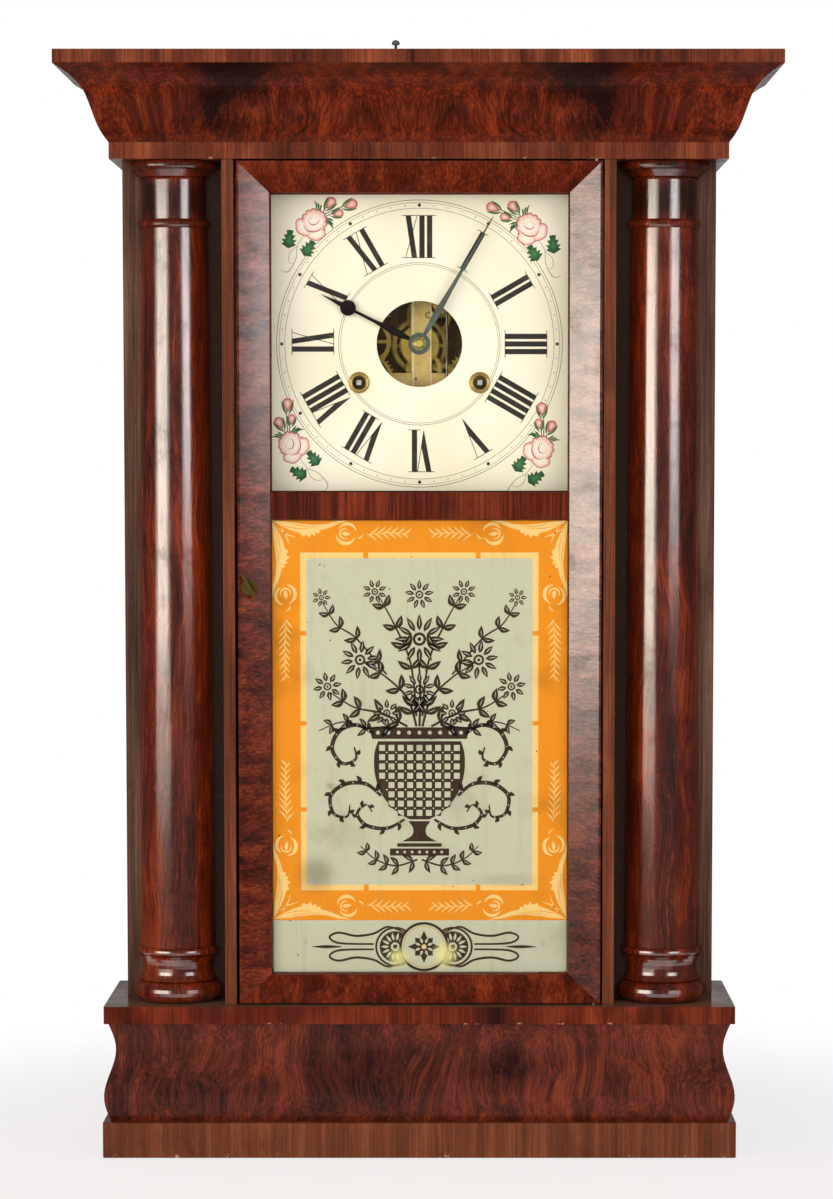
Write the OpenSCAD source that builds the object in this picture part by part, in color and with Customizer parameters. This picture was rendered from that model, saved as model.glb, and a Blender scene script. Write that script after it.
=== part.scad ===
// Column and cornice shelf clock: weight driven striking movement in a tall wooden case.
// Millimetres, +Z up, the dial faces -Y. The origin is under the middle of the case, at its foot.

/* [Case] */
// Width across the outer faces of the case sides
case_w = 398; // [340:1:480]
// Depth of the ledge board, from its front edge to the back of the case
ledge_d = 121.5; // [115:0.5:150]
// Height of the case between the ledge board and the frieze board
body_h = 565.8; // [470:0.1:680]
// Thickness of the case sides
side_t = 12; // [8:0.5:16]
// Thickness of the back board
back_t = 8; // [6:0.5:12]
// Width of each column bay, from the case side's outer face to the door opening
bay_w = 75.8; // [72:0.1:95]
// Distance of the pilaster boards behind the ledge board's front edge
pilaster_in = 34; // [33:0.5:40]
// Thickness of the pilaster boards
pilaster_t = 12; // [8:0.5:16]
// Thickness of the jamb boards beside the door
jamb_t = 7.9; // [6:0.1:10]
// Depth of the jamb boards
jamb_d = 51; // [48:0.5:56]

/* [Base] */
// Height of the plinth
plinth_h = 24; // [16:0.5:36]
// Height of the curved base moulding
base_ogee_h = 67; // [50:0.5:90]
// Thickness of the ledge board
ledge_t = 11.8; // [8:0.2:16]
// How far the ledge board stands out past each case side
ledge_over = 13.5; // [6:0.5:20]
// Thickness of the plinth and base mouldings at their widest
base_wood_t = 26; // [18:0.5:30]

/* [Cornice] */
// Thickness of the frieze board that closes the top of the case
frieze_t = 10.8; // [8:0.2:16]
// Height of the curved cornice moulding
cornice_h = 48.6; // [36:0.1:64]
// Height of the fillet at the top
fillet_h = 9; // [6:0.5:14]
// How far the fillet stands out from the frieze board
cornice_proj = 33.5; // [24:0.5:40]
// How far the cornice stands ahead of the ledge board
cornice_out = 27; // [22:0.5:32]
// Thickness of the moulding under its fillet
cornice_wood_t = 10; // [8:0.5:16]

/* [Columns] */
// Radius of the shaft at its foot
shaft_foot_r = 25.7; // [20:0.1:28]
// Radius of the shaft at its top
shaft_top_r = 23.05; // [18:0.05:26]
// Radius of the base roll
base_roll_r = 30.6; // [26:0.1:32]
// Radius of the capital's top roll
cap_roll_r = 31; // [26:0.1:32]
// Height of the base: roll, hollow and bead
column_base_h = 37.8; // [30:0.1:48]
// Height of the capital above the neck ring
capital_h = 44.6; // [34:0.1:54]
// Distance of the column's centre from the case side's outer face
column_in = 34.4; // [34:0.1:40]

/* [Door] */
// Width of the stiles
stile_w = 21.3; // [16:0.1:28]
// Height of the top rail
top_rail_h = 20.2; // [16:0.1:28]
// Height of the middle rail
mid_rail_h = 18; // [14:0.1:24]
// Height of the bottom rail
bottom_rail_h = 18.5; // [14:0.1:24]
// Height of the dial opening
dial_open_h = 199.2; // [196:0.1:225]
// Thickness of the door frame
door_t = 20; // [18:0.5:24]
// How far the frame's face slopes back from its outer edge to the glass
bevel_d = 8; // [4:0.5:9]
// Thickness of both panes
glass_t = 2; // [1.5:0.1:3]
// How far the panes sit behind the frame's lip
rabbet = 3; // [2:0.5:5]
// Gap between the door and what surrounds it
door_gap = 1.2; // [0.8:0.1:2]
// Radius of the hinge pins
hinge_pin_r = 1.5; // [1:0.1:2]
// Height of the catch above the ledge board
catch_z = 282; // [200:1:380]

/* [Dial and hands] */
// Thickness of the dial board
dial_t = 6; // [4:0.5:8]
// Distance of the dial behind the ledge board's front edge
dial_in = 43; // [42:0.5:44]
// Radius of the dial's centre hole
dial_hole_r = 28.9; // [24:0.1:32]
// Length of the minute hand from its centre
minute_hand_l = 98.5; // [80:0.5:98.5]
// Length of the hour hand from its centre
hour_hand_l = 75; // [55:0.5:80]

/* [Movement] */
// Distance between the two winding arbors
arbor_spread = 81.6; // [80:0.1:86]
// Depth of the winding arbors below the centre
arbor_drop = 26; // [25:0.1:28]
// Distance between the plates
plate_space = 34; // [34:0.5:36]
// Thickness of the plates
plate_t = 2; // [1.5:0.1:2.5]
// Radius of the driving drums
drum_r = 10.95; // [9:0.05:13]
// Radius of the weight cords
cord_r = 0.85; // [0.6:0.05:1]
// Radius of the weights
weight_r = 19; // [14:0.5:19.5]
// Length of the weights
weight_h = 150; // [100:1:180]
// Radius of the cord's path round the pulleys
pulley_r = 14; // [11:0.5:16]
// Distance from the pendulum's suspension to the middle of its bob
pendulum_l = 214; // [150:1:230]
// Radius of the pendulum bob
bob_r = 17; // [12:0.5:19]
// Outer radius of the wire gong
gong_r = 42; // [34:0.5:46]

/* [Hidden] */
$fn = 48;

// Heights of the case, from the foot up
ledge_z = plinth_h + base_ogee_h;
floor_z = ledge_z + ledge_t;
frieze_z = floor_z + body_h;
cornice_z = frieze_z + frieze_t;
fillet_z = cornice_z + cornice_h;
top_z = fillet_z + fillet_h;

// Depths of the case, from the back forward
back_y = (ledge_d + cornice_out) / 2;
ledge_y = back_y - ledge_d;
cornice_y = ledge_y - cornice_out;
frieze_y = cornice_y + cornice_proj;
pilaster_y = ledge_y + pilaster_in;
back_face_y = back_y - back_t;

// Half widths of the case
case_x = case_w / 2;
bay_x = case_x - bay_w;
ledge_x = case_x + ledge_over;
frieze_x = case_x + 6.5;
cornice_x = frieze_x + cornice_proj;
plinth_step = 1;
plinth_x = ledge_x + plinth_step;
plinth_y = ledge_y - plinth_step;
wide = 2 * (cornice_x + back_y);

// Clearances
run = 0.05;
seat = 0.3;
joint = 0.1;

// Base moulding: a hollow above and a roll below, as one wave
ogee_mid = 3.7;
ogee_amp = 3.8;
ogee_belly = 0.26;
ogee_waist = 0.73;

// Door
door_y = ledge_y + 8;
door_left_x = -(bay_x - 2);
door_right_x = bay_x - 1.3;
door_z0 = floor_z + door_gap;
door_z1 = frieze_z - door_gap;
open_left_x = door_left_x + stile_w;
open_right_x = door_right_x - stile_w;
dial_open_z1 = door_z1 - top_rail_h;
dial_open_z0 = dial_open_z1 - dial_open_h;
tablet_z1 = dial_open_z0 - mid_rail_h;
tablet_z0 = door_z0 + bottom_rail_h;
lip_y = door_y + bevel_d;
glass_y = lip_y + 4;
glass_fit = 0.3;
strip_w = 4;
edge_flat = 1.5;
rail_set_back = 0.6;
hinge_x = door_right_x - 3.9;
hinge_y = door_y + 3;
hinge_in = 8;
catch_x = door_left_x + 7.8;
catch_hole_r = 2;

// Dial
dial_y = ledge_y + dial_in;
dial_back_y = dial_y + dial_t;
dial_x = bay_x - 0.7;
dial_margin = 13;
dial_z = (dial_open_z0 + dial_open_z1) / 2;
grommet_out_r = 7.2;
grommet_in_r = 4.6;
cleat_w = 11;
cleat_t = 8;
hour_y = dial_y - 4.2;
minute_y = dial_y - 7.8;
hour_angle = 296.6;
minute_angle = 30.3;

// Movement plates
front_y = dial_back_y + 16.25;
front_in_y = front_y + plate_t;
back_in_y = front_in_y + plate_space;
back_out_y = back_in_y + plate_t;
plate_x = 64;
plate_z0 = -56;
plate_z1 = 66;
frame_w = 10;
pillar_r = 3;
pillar_pin_r = 1.6;
pivot_r = 0.8;
shake = 0.25;
arbor_r = 1.5;
rail_h = 14;
boss_r = 5;
small_boss_r = 3.6;
strap_w = 13.9;
stud_r = 1;
winding_r = 2.4;
ratchet_r = 8.6;
escape_arbor_r = 1.1;
centre_r = 2.2;
collet_r = 4.6;
pipe_in_r = 2.28;
pipe_r = 3.4;

// Levels of the wheels, behind the front plate
hour_level = front_in_y + 1.2;
motion_level = front_in_y + 4;
centre_level = front_in_y + 7.5;
great_level = front_in_y + 11.5;
ratchet_level = great_level + 2.4;
drum_level = ratchet_level + 1.6;
third_level = front_in_y + 16;
wheel_t = 1.6;
great_t = 2;
pin_wheel_level = centre_level;
fly_level = third_level;

// Teeth and modules of the going train
great_n = 48;
great_m = 1;
lantern_n = 10;
second_n = 60;
centre_n = 45;
centre_m = 0.62;
centre_drive_n = 60;
third_lantern_n = 6;
third_lantern_m = 0.64;
third_n = 56;
third_m = 0.55;
escape_lantern_n = 6;
escape_n = 42;
escape_r = 12;
cannon_n = 15;
motion_n = 45;
motion_pinion_n = 12;
hour_n = 48;
motion_m = 0.55;
pin_n = 60;
pin_m = 0.55;
lift_pin_r = 14;
fly_lantern_n = 7;

// Places of the arbors, right and up from the centre
time_at = [arbor_spread / 2, -arbor_drop];
strike_at = [-arbor_spread / 2, -arbor_drop];
great_reach = great_m * (great_n + lantern_n) / 2;
second_reach = centre_m * (second_n + centre_n) / 2;
second_at = meet([0, 0], second_reach, time_at, great_reach, -1);
third_at = polar(third_lantern_m * (centre_drive_n + third_lantern_n) / 2, 73.5);
escape_at = third_at + polar(third_m * (third_n + escape_lantern_n) / 2, 42.6);
motion_at = polar(motion_m * (cannon_n + motion_n) / 2, -80);
pin_at = strike_at + polar(great_reach, 80);
fly_at = pin_at + polar(pin_m * (pin_n + fly_lantern_n) / 2, 75);
verge_at = escape_at + [0, 15.5];
suspension_at = escape_at + [0, 26.5];
hammer_at = [-10, -40];
plate_pivots = [second_at, third_at, escape_at, pin_at, fly_at, hammer_at];
pillars = [[-(plate_x - 5), plate_z0 + 5], [plate_x - 5, plate_z0 + 5], [-(plate_x - 5), plate_z1 - 5],
    [plate_x - 5, plate_z1 - 5]];
strap_a = [1.05, plate_z0 + frame_w / 2];
strap_b = [1.05, plate_z1 - frame_w / 2];
crutch_drop = 26;
rod_y = dial_back_y + 6.5;
rod_r = 0.7;
bob_bore = 3;
verge_y = front_y - 6.5;
escape_y = front_y - 6;

// Weights, cords and pulleys
cord_path_r = drum_r + cord_r + run;
cord_y = (drum_level + back_in_y) / 2;
weight_x = case_x - side_t - 9 - weight_r;
pulley_x = weight_x - pulley_r;
pulley_z = cornice_z + 4.6;
pulley_t = 6;
axle_r = 1.5;
weight_z = floor_z + seat;
weight_top = weight_z + weight_h + 12;
slot_w = 10;
run_d = [pulley_x - time_at[0], pulley_z - dial_z - time_at[1]];
run_len = norm(run_d);
run_turn = atan2(run_d[1], run_d[0]) + acos((cord_path_r - pulley_r) / run_len);
run_start = time_at + polar(cord_path_r, run_turn);
run_end = [pulley_x, pulley_z - dial_z] + polar(pulley_r, run_turn);
slot_in_x = run_end[0] - (dial_z + run_end[1] - frieze_z) / tan(run_turn - 90) - 5;

// Gong
gong_z = dial_z - 217;
gong_y = back_in_y - 5.75;
gong_wire_r = 1.4;
gong_turns = 4;
gong_pitch = 7;
gong_start_r = gong_r - gong_turns * gong_pitch;

function polar(r, a) = [r * cos(a), r * sin(a)];
function arc(c, r, a0, a1, n) = [for (i = [0:n]) c + polar(r, a0 + (a1 - a0) * i / n)];
function heading(a, b) = atan2(b[1] - a[1], b[0] - a[0]);
// Where a circle of radius ra about a meets one of radius rb about b, left or right of the line a to b
function meet(a, ra, b, rb, side) =
    let (d = norm(b - a), u = (b - a) / d, along = (ra * ra - rb * rb + d * d) / (2 * d),
        off = sqrt(ra * ra - along * along))
    a + u * along + side * off * [-u[1], u[0]];

// Setting back of the base moulding's face behind the ledge, at a share of its height
function ogee_in(u) = ogee_mid - ogee_amp * cos(180 * (u - ogee_belly) / (ogee_waist - ogee_belly));
// Setting back of the cornice's face behind its fillet, at a share of its height from the top
function cornice_in(u) = cornice_proj * (0.505 * u + 0.4 * (1 - pow(max(0, 1 - u / 0.45), 2.5))
    + 0.095 * pow(max(0, (u - 0.7) / 0.3), 2.2));

// A flat shape in the plane of the dial, drawn right and up, from y0 to the back by t
module slab(y0, t) {
    translate([0, y0 + t, 0]) rotate([90, 0, 0]) linear_extrude(t) children();
}
module box(lo, hi) {
    translate(lo) cube(hi - lo);
}
module at(p) {
    translate([p[0], 0, dial_z + p[1]]) children();
}
// A round bar along Y
module rod(y0, y1, r, c = [0, 0]) {
    translate([c[0], y1, c[1]]) rotate([90, 0, 0]) cylinder(h = y1 - y0, r = r);
}
module bar2d(a, b, w) {
    translate(a) rotate(heading(a, b)) translate([0, -w / 2]) square([norm(b - a), w]);
}
module disc2d(p, r) {
    translate(p) circle(r);
}

// Mouldings: the face is a list of [out, z], closed at the back, and mitred at the front corners
function closed_face(face, t) = concat(face, [[-t, face[len(face) - 1][1]], [-t, face[0][1]]]);
module front_run(face, x, y, t) {
    intersection() {
        translate([-wide / 2, 0, 0]) rotate([90, 0, 90]) linear_extrude(wide)
            polygon([for (p = closed_face(face, t)) [y - p[0], p[1]]]);
        linear_extrude(2 * top_z)
            polygon([[-(x - t) + joint, y + t], [x - t - joint, y + t], [x + wide - joint, y - wide],
                [-(x + wide) + joint, y - wide]]);
    }
}
module side_run(face, x, y, t) {
    intersection() {
        translate([0, back_y, 0]) rotate([90, 0, 0]) linear_extrude(wide)
            polygon([for (p = closed_face(face, t)) [x + p[0], p[1]]]);
        linear_extrude(2 * top_z)
            polygon([[x - t, y + t], [x - t, wide], [x + wide, wide], [x + wide, y - wide]]);
    }
}
module moulding(face, x, y, t) {
    front_run(face, x, y, t);
    side_run(face, x, y, t);
    mirror([1, 0, 0]) side_run(face, x, y, t);
}

// The rail that closes a moulding's frame at the back
module back_rail(x, t, z0, z1) {
    box([-x + joint, back_y - t, z0], [x - joint, back_y, z1]);
}

module plinth() color("saddlebrown") {
    moulding([[0, 0], [0, plinth_h]], plinth_x, plinth_y, base_wood_t);
    back_rail(plinth_x - base_wood_t, base_wood_t / 2, 0, plinth_h);
}
module base_ogee() color("brown") {
    steps = 18;
    face = [for (i = [0:steps]) [-ogee_in(i / steps), plinth_h + base_ogee_h * i / steps]];
    moulding(face, ledge_x, ledge_y, base_wood_t - plinth_step);
    back_rail(plinth_x - base_wood_t, base_wood_t / 2, plinth_h, ledge_z);
}
module ledge_board() color("saddlebrown") difference() {
    box([-ledge_x, ledge_y, ledge_z], [ledge_x, back_y, floor_z]);
    translate([hinge_x, hinge_y, floor_z - hinge_in]) cylinder(h = 2 * hinge_in, r = hinge_pin_r);
}
module case_side() {
    box([case_x - side_t, pilaster_y + pilaster_t, floor_z], [case_x, back_y, frieze_z]);
}
module case_side_left() color("sienna") mirror([1, 0, 0]) case_side();
module case_side_right() color("sienna") case_side();
module back_board() color("tan") {
    box([-(case_x - side_t), back_face_y, floor_z], [case_x - side_t, back_y, frieze_z]);
}
module pilaster() {
    box([bay_x + jamb_t, pilaster_y, floor_z], [case_x, pilaster_y + pilaster_t, frieze_z]);
}
module pilaster_left() color("brown") mirror([1, 0, 0]) pilaster();
module pilaster_right() color("brown") pilaster();
module jamb() {
    box([bay_x, door_y, floor_z], [bay_x + jamb_t, door_y + jamb_d, frieze_z]);
}
module jamb_left() color("saddlebrown") mirror([1, 0, 0]) jamb();
module jamb_right() color("saddlebrown") jamb();

// A turned column, split and glued with its flat on the pilaster board
module column() {
    roll = 7.5;
    bead = 3.05;
    scotia_r = 24.05;
    neck_ring = 3;
    neck_r = 22.1;
    cap_roll = 3.15;
    top = body_h;
    neck_z = top - capital_h;
    hollow_z0 = 2 * roll;
    hollow_z1 = column_base_h - 2 * bead;
    hollow_mid = (hollow_z0 + hollow_z1) / 2;
    hollow_half = (hollow_z1 - hollow_z0) / 2;
    hollow_lip = shaft_foot_r + 1;
    sag = hollow_lip - scotia_r;
    hollow_r = (hollow_half * hollow_half + sag * sag) / (2 * sag);
    hollow_a = asin(hollow_half / hollow_r);
    profile = concat([[0, 0]],
        arc([base_roll_r - roll, roll], roll, -90, 90, 10),
        arc([scotia_r + hollow_r, hollow_mid], hollow_r, 180 + hollow_a, 180 - hollow_a, 8),
        arc([shaft_foot_r - 0.5, hollow_z1 + bead], bead, -90, 90, 8),
        [[shaft_foot_r, column_base_h], [shaft_top_r, neck_z]],
        arc([neck_r - 0.1, neck_z + neck_ring], neck_ring, -90, 90, 8),
        [[neck_r, neck_z + 2 * neck_ring], [neck_r, top - 12.6]],
        arc([neck_r, top - 11.8], 0.8, -90, 90, 4),
        [[neck_r + 2, top - 10.6], [cap_roll_r - 3, top - 2 * cap_roll]],
        arc([cap_roll_r - cap_roll, top - cap_roll], cap_roll, -90, 90, 8),
        [[0, top]]);
    intersection() {
        translate([case_x - column_in, pilaster_y + 3.5, floor_z]) rotate_extrude() polygon(profile);
        box([case_x - 2 * column_in, pilaster_y - base_roll_r * 2, 0], [case_x, pilaster_y, top_z]);
    }
}
module column_left() color("maroon") mirror([1, 0, 0]) column();
module column_right() color("maroon") column();

// The board over the case, with a slot for each pulley
module frieze_board() color("saddlebrown") difference() {
    box([-frieze_x, frieze_y, frieze_z], [frieze_x, back_y, cornice_z]);
    for (side = [-1, 1]) {
        xs = [side * slot_in_x, side * (pulley_x + pulley_r + 6)];
        box([min(xs), cord_y - slot_w / 2, frieze_z - 1], [max(xs), cord_y + slot_w / 2, cornice_z + 1]);
    }
    translate([hinge_x, hinge_y, frieze_z - hinge_in]) cylinder(h = 2 * hinge_in, r = hinge_pin_r);
}
module cornice_ogee() color("brown") {
    steps = 18;
    face = [for (i = [0:steps])
        [cornice_proj - cornice_in(1 - i / steps), cornice_z + cornice_h * i / steps]];
    moulding(face, frieze_x, frieze_y, cornice_wood_t);
    back_rail(frieze_x - cornice_wood_t, cornice_wood_t, cornice_z, fillet_z);
}
module cornice_cap() color("saddlebrown") {
    cap_t = cornice_proj + cornice_wood_t;
    moulding([[0, fillet_z], [0, top_z]], cornice_x, cornice_y, cap_t);
    box([-(cornice_x - cap_t) + joint, cornice_y + cap_t + joint, fillet_z],
        [cornice_x - cap_t - joint, back_y, top_z - 3]);
}

// Door frame member, drawn as [in, y] from its outer edge to the glass, where in runs over its width
function member(w) = [[0, door_y + door_t], [0, door_y], [edge_flat, door_y], [w, lip_y], [w, glass_y],
    [w - rabbet, glass_y], [w - rabbet, door_y + door_t]];
module stile(w) {
    translate([0, 0, door_z0]) linear_extrude(door_z1 - door_z0) polygon(member(w));
}
// A rail along X whose outer edge is at z, its face sloping towards the glass in the direction up
module rail(w, z, up) {
    translate([door_left_x, 0, z]) rotate([90, 0, 90]) linear_extrude(door_right_x - door_left_x)
        polygon([for (p = member(w)) [p[1], up * p[0]]]);
}
// The space of a stile beyond its mitre lines, seen from the front
module stile_space(w) {
    slab(door_y - 1, door_t + 2)
        polygon([[-1, door_z0 - 1], [0, door_z0], [w, door_z0 + bottom_rail_h], [w, door_z1 - top_rail_h],
            [0, door_z1], [-1, door_z1 + 1]]);
}
module hinge_bores() {
    for (z = [door_z0 - 1, door_z1 - hinge_in])
        translate([hinge_x, hinge_y, z]) cylinder(h = hinge_in + 1, r = hinge_pin_r + run);
}
module door_stile_left() color("saddlebrown") difference() {
    intersection() {
        translate([door_left_x, 0, 0]) stile(stile_w);
        translate([door_left_x, 0, 0]) stile_space(stile_w);
    }
    rod(door_y - 1, door_y + door_t + 1, catch_hole_r + run, [catch_x, floor_z + catch_z]);
}
module door_stile_right() color("saddlebrown") difference() {
    intersection() {
        translate([door_right_x, 0, 0]) mirror([1, 0, 0]) stile(stile_w);
        translate([door_right_x, 0, 0]) mirror([1, 0, 0]) stile_space(stile_w);
    }
    hinge_bores();
}
module rail_between_mitres(w, z, up) {
    difference() {
        rail(w, z, up);
        translate([door_left_x, 0, 0]) stile_space(stile_w);
        translate([door_right_x, 0, 0]) mirror([1, 0, 0]) stile_space(stile_w);
        hinge_bores();
    }
}
module door_top_rail() color("sienna") rail_between_mitres(top_rail_h, door_z1, -1);
module door_bottom_rail() color("sienna") rail_between_mitres(bottom_rail_h, door_z0, 1);
// A flat bar, set back behind the inner edges of the stiles
module door_middle_rail() color("sienna") difference() {
    z0 = tablet_z1;
    z1 = dial_open_z0;
    face = lip_y + rail_set_back;
    translate([open_left_x - stile_w / 2, 0, 0]) rotate([90, 0, 90])
        linear_extrude(open_right_x - open_left_x + stile_w)
        polygon([[face, z0], [face, z1], [glass_y, z1], [glass_y, z1 - rabbet],
            [door_y + door_t, z1 - rabbet], [door_y + door_t, z0 + rabbet], [glass_y, z0 + rabbet],
            [glass_y, z0]]);
    translate([door_left_x, 0, 0]) stile(stile_w);
    translate([door_right_x, 0, 0]) mirror([1, 0, 0]) stile(stile_w);
}
module pane(z0, z1) {
    grow = rabbet - glass_fit;
    box([open_left_x - grow, glass_y, z0 - grow], [open_right_x + grow, glass_y + glass_t, z1 + grow]);
}
module dial_glass() color("lightblue", 0.3) pane(dial_open_z0, dial_open_z1);
module tablet_glass() color("lightblue", 0.3) pane(tablet_z0, tablet_z1);
// Strips that hold each pane in its rabbet
module strips(z0, z1) {
    y0 = glass_y + glass_t;
    y1 = y0 + strip_w;
    x0 = open_left_x - rabbet;
    x1 = open_right_x + rabbet;
    for (x = [x0, x1 - strip_w])
        box([x, y0, z0 - rabbet + strip_w], [x + strip_w, y1, z1 + rabbet - strip_w]);
    for (z = [z0 - rabbet, z1 + rabbet - strip_w]) box([x0, y0, z], [x1, y1, z + strip_w]);
}
module glazing_strips() color("peru") {
    strips(dial_open_z0, dial_open_z1);
    strips(tablet_z0, tablet_z1);
}
module hinge_pins() color("gray") {
    for (z = [floor_z - hinge_in, door_z1 - hinge_in + seat])
        translate([hinge_x, hinge_y, z]) cylinder(h = 2 * hinge_in + door_gap - seat, r = hinge_pin_r);
}
// Round brass knob with a thumb wing, its spindle and the pawl behind the door
module door_catch() color("goldenrod") translate([catch_x, 0, floor_z + catch_z]) {
    face = door_y + bevel_d * catch_hole_r / stile_w + 2;
    pawl_t = 1.2;
    pawl_l = 6.2;
    rod(face - 3, door_y + door_t + pawl_t, catch_hole_r);
    rod(door_y - 1.2, door_y - 0.2, 5.6);
    rotate([0, 59, 0]) box([-8.6, door_y - 4.6, -1.1], [8.6, door_y - 1.2, 1.1]);
    box([-pawl_l, door_y + door_t + 0.2, -3], [4, door_y + door_t + 0.2 + pawl_t, 3]);
}

module dial_board() color("ivory") difference() {
    box([-dial_x, dial_y, dial_open_z0 - dial_margin], [dial_x, dial_back_y, dial_open_z1 + dial_margin]);
    at([0, 0]) rod(dial_y - 1, dial_back_y + 1, dial_hole_r);
    for (p = [time_at, strike_at]) at(p) rod(dial_y - 1, dial_back_y + 1, grommet_out_r - 1);
}
module dial_grommets() color("goldenrod") {
    for (p = [time_at, strike_at]) at(p) difference() {
        union() {
            rod(dial_y, dial_back_y, grommet_out_r - 1);
            rod(dial_y - 0.8, dial_y, grommet_out_r);
        }
        rod(dial_y - 2, dial_back_y + 1, grommet_in_r);
    }
}
module dial_cleats() color("tan") {
    for (side = [-1, 1]) mirror([side > 0 ? 0 : 1, 0, 0])
        box([bay_x - cleat_w, dial_back_y, dial_open_z0 - dial_margin],
            [bay_x, dial_back_y + cleat_t, dial_open_z1 + dial_margin]);
}

// Hands, drawn pointing up and turned clockwise to their time
module hand(y, t, angle) {
    at([0, 0]) rotate([0, angle, 0]) slab(y, t) children();
}
// A slim leaf of length l: each pair is a share of the length and the half width there
function leaf(l, widths) = concat([for (w = widths) [w[1], l * w[0]]],
    [for (i = [len(widths) - 1:-1:0]) [-widths[i][1], l * widths[i][0]]]);
module hour_hand() color("black") hand(hour_y, 0.9, hour_angle) difference() {
    blob = hour_hand_l * 0.717;
    blob_r = 5.3;
    union() {
        circle(7);
        translate([0, blob]) circle(blob_r);
        polygon(leaf(blob, [[0, 1.3], [0.16, 1.4], [0.24, 2.2], [0.32, 2.65], [0.4, 2.5], [0.5, 1.7],
            [0.62, 1.1], [1, 0.9]]));
        polygon([[-1.7, blob + blob_r - 0.6], [1.7, blob + blob_r - 0.6], [0, hour_hand_l]]);
    }
    circle(pipe_r);
}
module minute_hand() color("slategray") hand(minute_y, 0.8, minute_angle) difference() {
    union() {
        circle(7.4);
        polygon(leaf(minute_hand_l, [[0, 1.2], [0.09, 1.3], [0.16, 1.9], [0.23, 2.2], [0.3, 2],
            [0.42, 1.45], [0.6, 1], [0.8, 0.65], [0.98, 0.4], [1, 0.15]]));
    }
    circle(centre_r);
}
module hand_collet() color("goldenrod") at([0, 0]) {
    difference() {
        translate([0, minute_y, 0]) rotate([90, 0, 0]) rotate_extrude()
            polygon([[0, 0], [collet_r, 0], [collet_r, 0.4], [collet_r - 0.9, 1.1], [centre_r + 0.4, 1.6],
                [0, 1.6]]);
        rod(minute_y - 2, minute_y + 1, centre_r);
    }
    rotate([0, minute_angle, 0]) translate([0, minute_y - 2.2, -5]) cylinder(h = 10, r = 0.5);
}

// Wheel teeth, with a tooth or a gap centred on the line to the wheel it meets
function teeth(n, m, aim, gap = 0) =
    let (step = 360 / n, root = m * n / 2 - 1.15 * m, tip = m * n / 2 + 0.75 * m,
        start = aim + gap * step / 2)
    [for (i = [0:n - 1], k = [0:3])
        polar(k == 0 || k == 3 ? root : tip, start + step * (i + [-0.27, -0.09, 0.09, 0.27][k]))];
module wheel(y, t, n, m, aim, gap = 0, hub = 0, spokes = 4) {
    rim = m * n / 2 - 3.2;
    slab(y, t) difference() {
        polygon(teeth(n, m, aim, gap));
        if (spokes > 0 && rim > 6) difference() {
            circle(rim);
            circle(3.6);
            for (i = [0:spokes - 1]) rotate(i * 360 / spokes) translate([0, -1.1]) square([rim + 1, 2.2]);
        }
        circle(hub);
    }
}
// Lantern pinion: wires between two shrouds, one wire on the line to the wheel it meets
module lantern(y, t, n, m, aim) {
    r = n * m / 2;
    wire = 0.62 * m;
    shroud = 0.7;
    for (i = [0:n - 1]) rod(y, y + t, wire, polar(r, aim + i * 360 / n));
    for (s = [y - shroud, y + t]) rod(s, s + shroud, r + wire + 0.2);
}
// Arbor with a pivot in each plate, and its body between them
module arbor(r = arbor_r) {
    rod(front_y - 0.4, back_out_y + 0.4, pivot_r);
    rod(front_in_y + shake, back_in_y - shake, r);
}

module plate2d() {
    difference() {
        translate([-plate_x, plate_z0]) square([2 * plate_x, plate_z1 - plate_z0]);
        translate([-plate_x + frame_w, plate_z0 + frame_w])
            square([2 * (plate_x - frame_w), plate_z1 - plate_z0 - 2 * frame_w]);
    }
    x = plate_x - frame_w / 2;
    low = plate_z0 + frame_w / 2;
    high = plate_z1 - frame_w / 2;
    bar2d(strap_a, strap_b, strap_w);
    bar2d([-x, -arbor_drop], [x, -arbor_drop], strap_w);
    bar2d(escape_at, [escape_at[0], high], 8);
    bar2d([-x, pin_at[1]], pin_at, 7);
    bar2d(pin_at, fly_at, 6);
    bar2d(fly_at, [fly_at[0], high], 7);
    bar2d(hammer_at, [hammer_at[0], low], 8);
    for (p = [escape_at, pin_at, fly_at, hammer_at]) disc2d(p, boss_r);
    disc2d(third_at, small_boss_r);
}
module front_plate() color("goldenrod") {
    at([0, 0]) difference() {
        slab(front_y, plate_t) difference() {
            plate2d();
            circle(pipe_r + run);
            for (p = plate_pivots) if (p != escape_at) translate(p) circle(pivot_r + run);
            translate(escape_at) circle(escape_arbor_r + run);
            for (p = [time_at, strike_at]) translate(p) circle(winding_r + run);
            for (p = pillars) translate(p) circle(pillar_pin_r);
        }
    }
    // Studs that carry the motion wheel, the verge and the pendulum
    at(motion_at) rod(front_in_y, motion_level + wheel_t + 1.4, stud_r);
    at(verge_at) rod(verge_y - 2.2, front_y, stud_r);
    at(suspension_at) difference() {
        rod(rod_y - 2, front_y, 2.2);
        box([-0.3, rod_y - 3, -2.5], [0.3, rod_y + 2, 0]);
    }
}
module back_plate() color("goldenrod") at([0, 0]) {
    slab(back_in_y, plate_t) difference() {
        plate2d();
        for (p = concat(plate_pivots, [[0, 0]])) translate(p) circle(pivot_r + run);
        for (p = [time_at, strike_at]) translate(p) circle(winding_r + run);
    }
    for (p = pillars) {
        rod(front_in_y, back_in_y, pillar_r, p);
        rod(front_y - 2, front_in_y, pillar_pin_r, p);
    }
}
module movement_rails() color("tan") {
    for (z = [plate_z0 - 2, plate_z1 + 2 - rail_h])
        box([-(plate_x + 6), back_out_y, dial_z + z], [plate_x + 6, back_face_y, dial_z + z + rail_h]);
}

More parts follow.
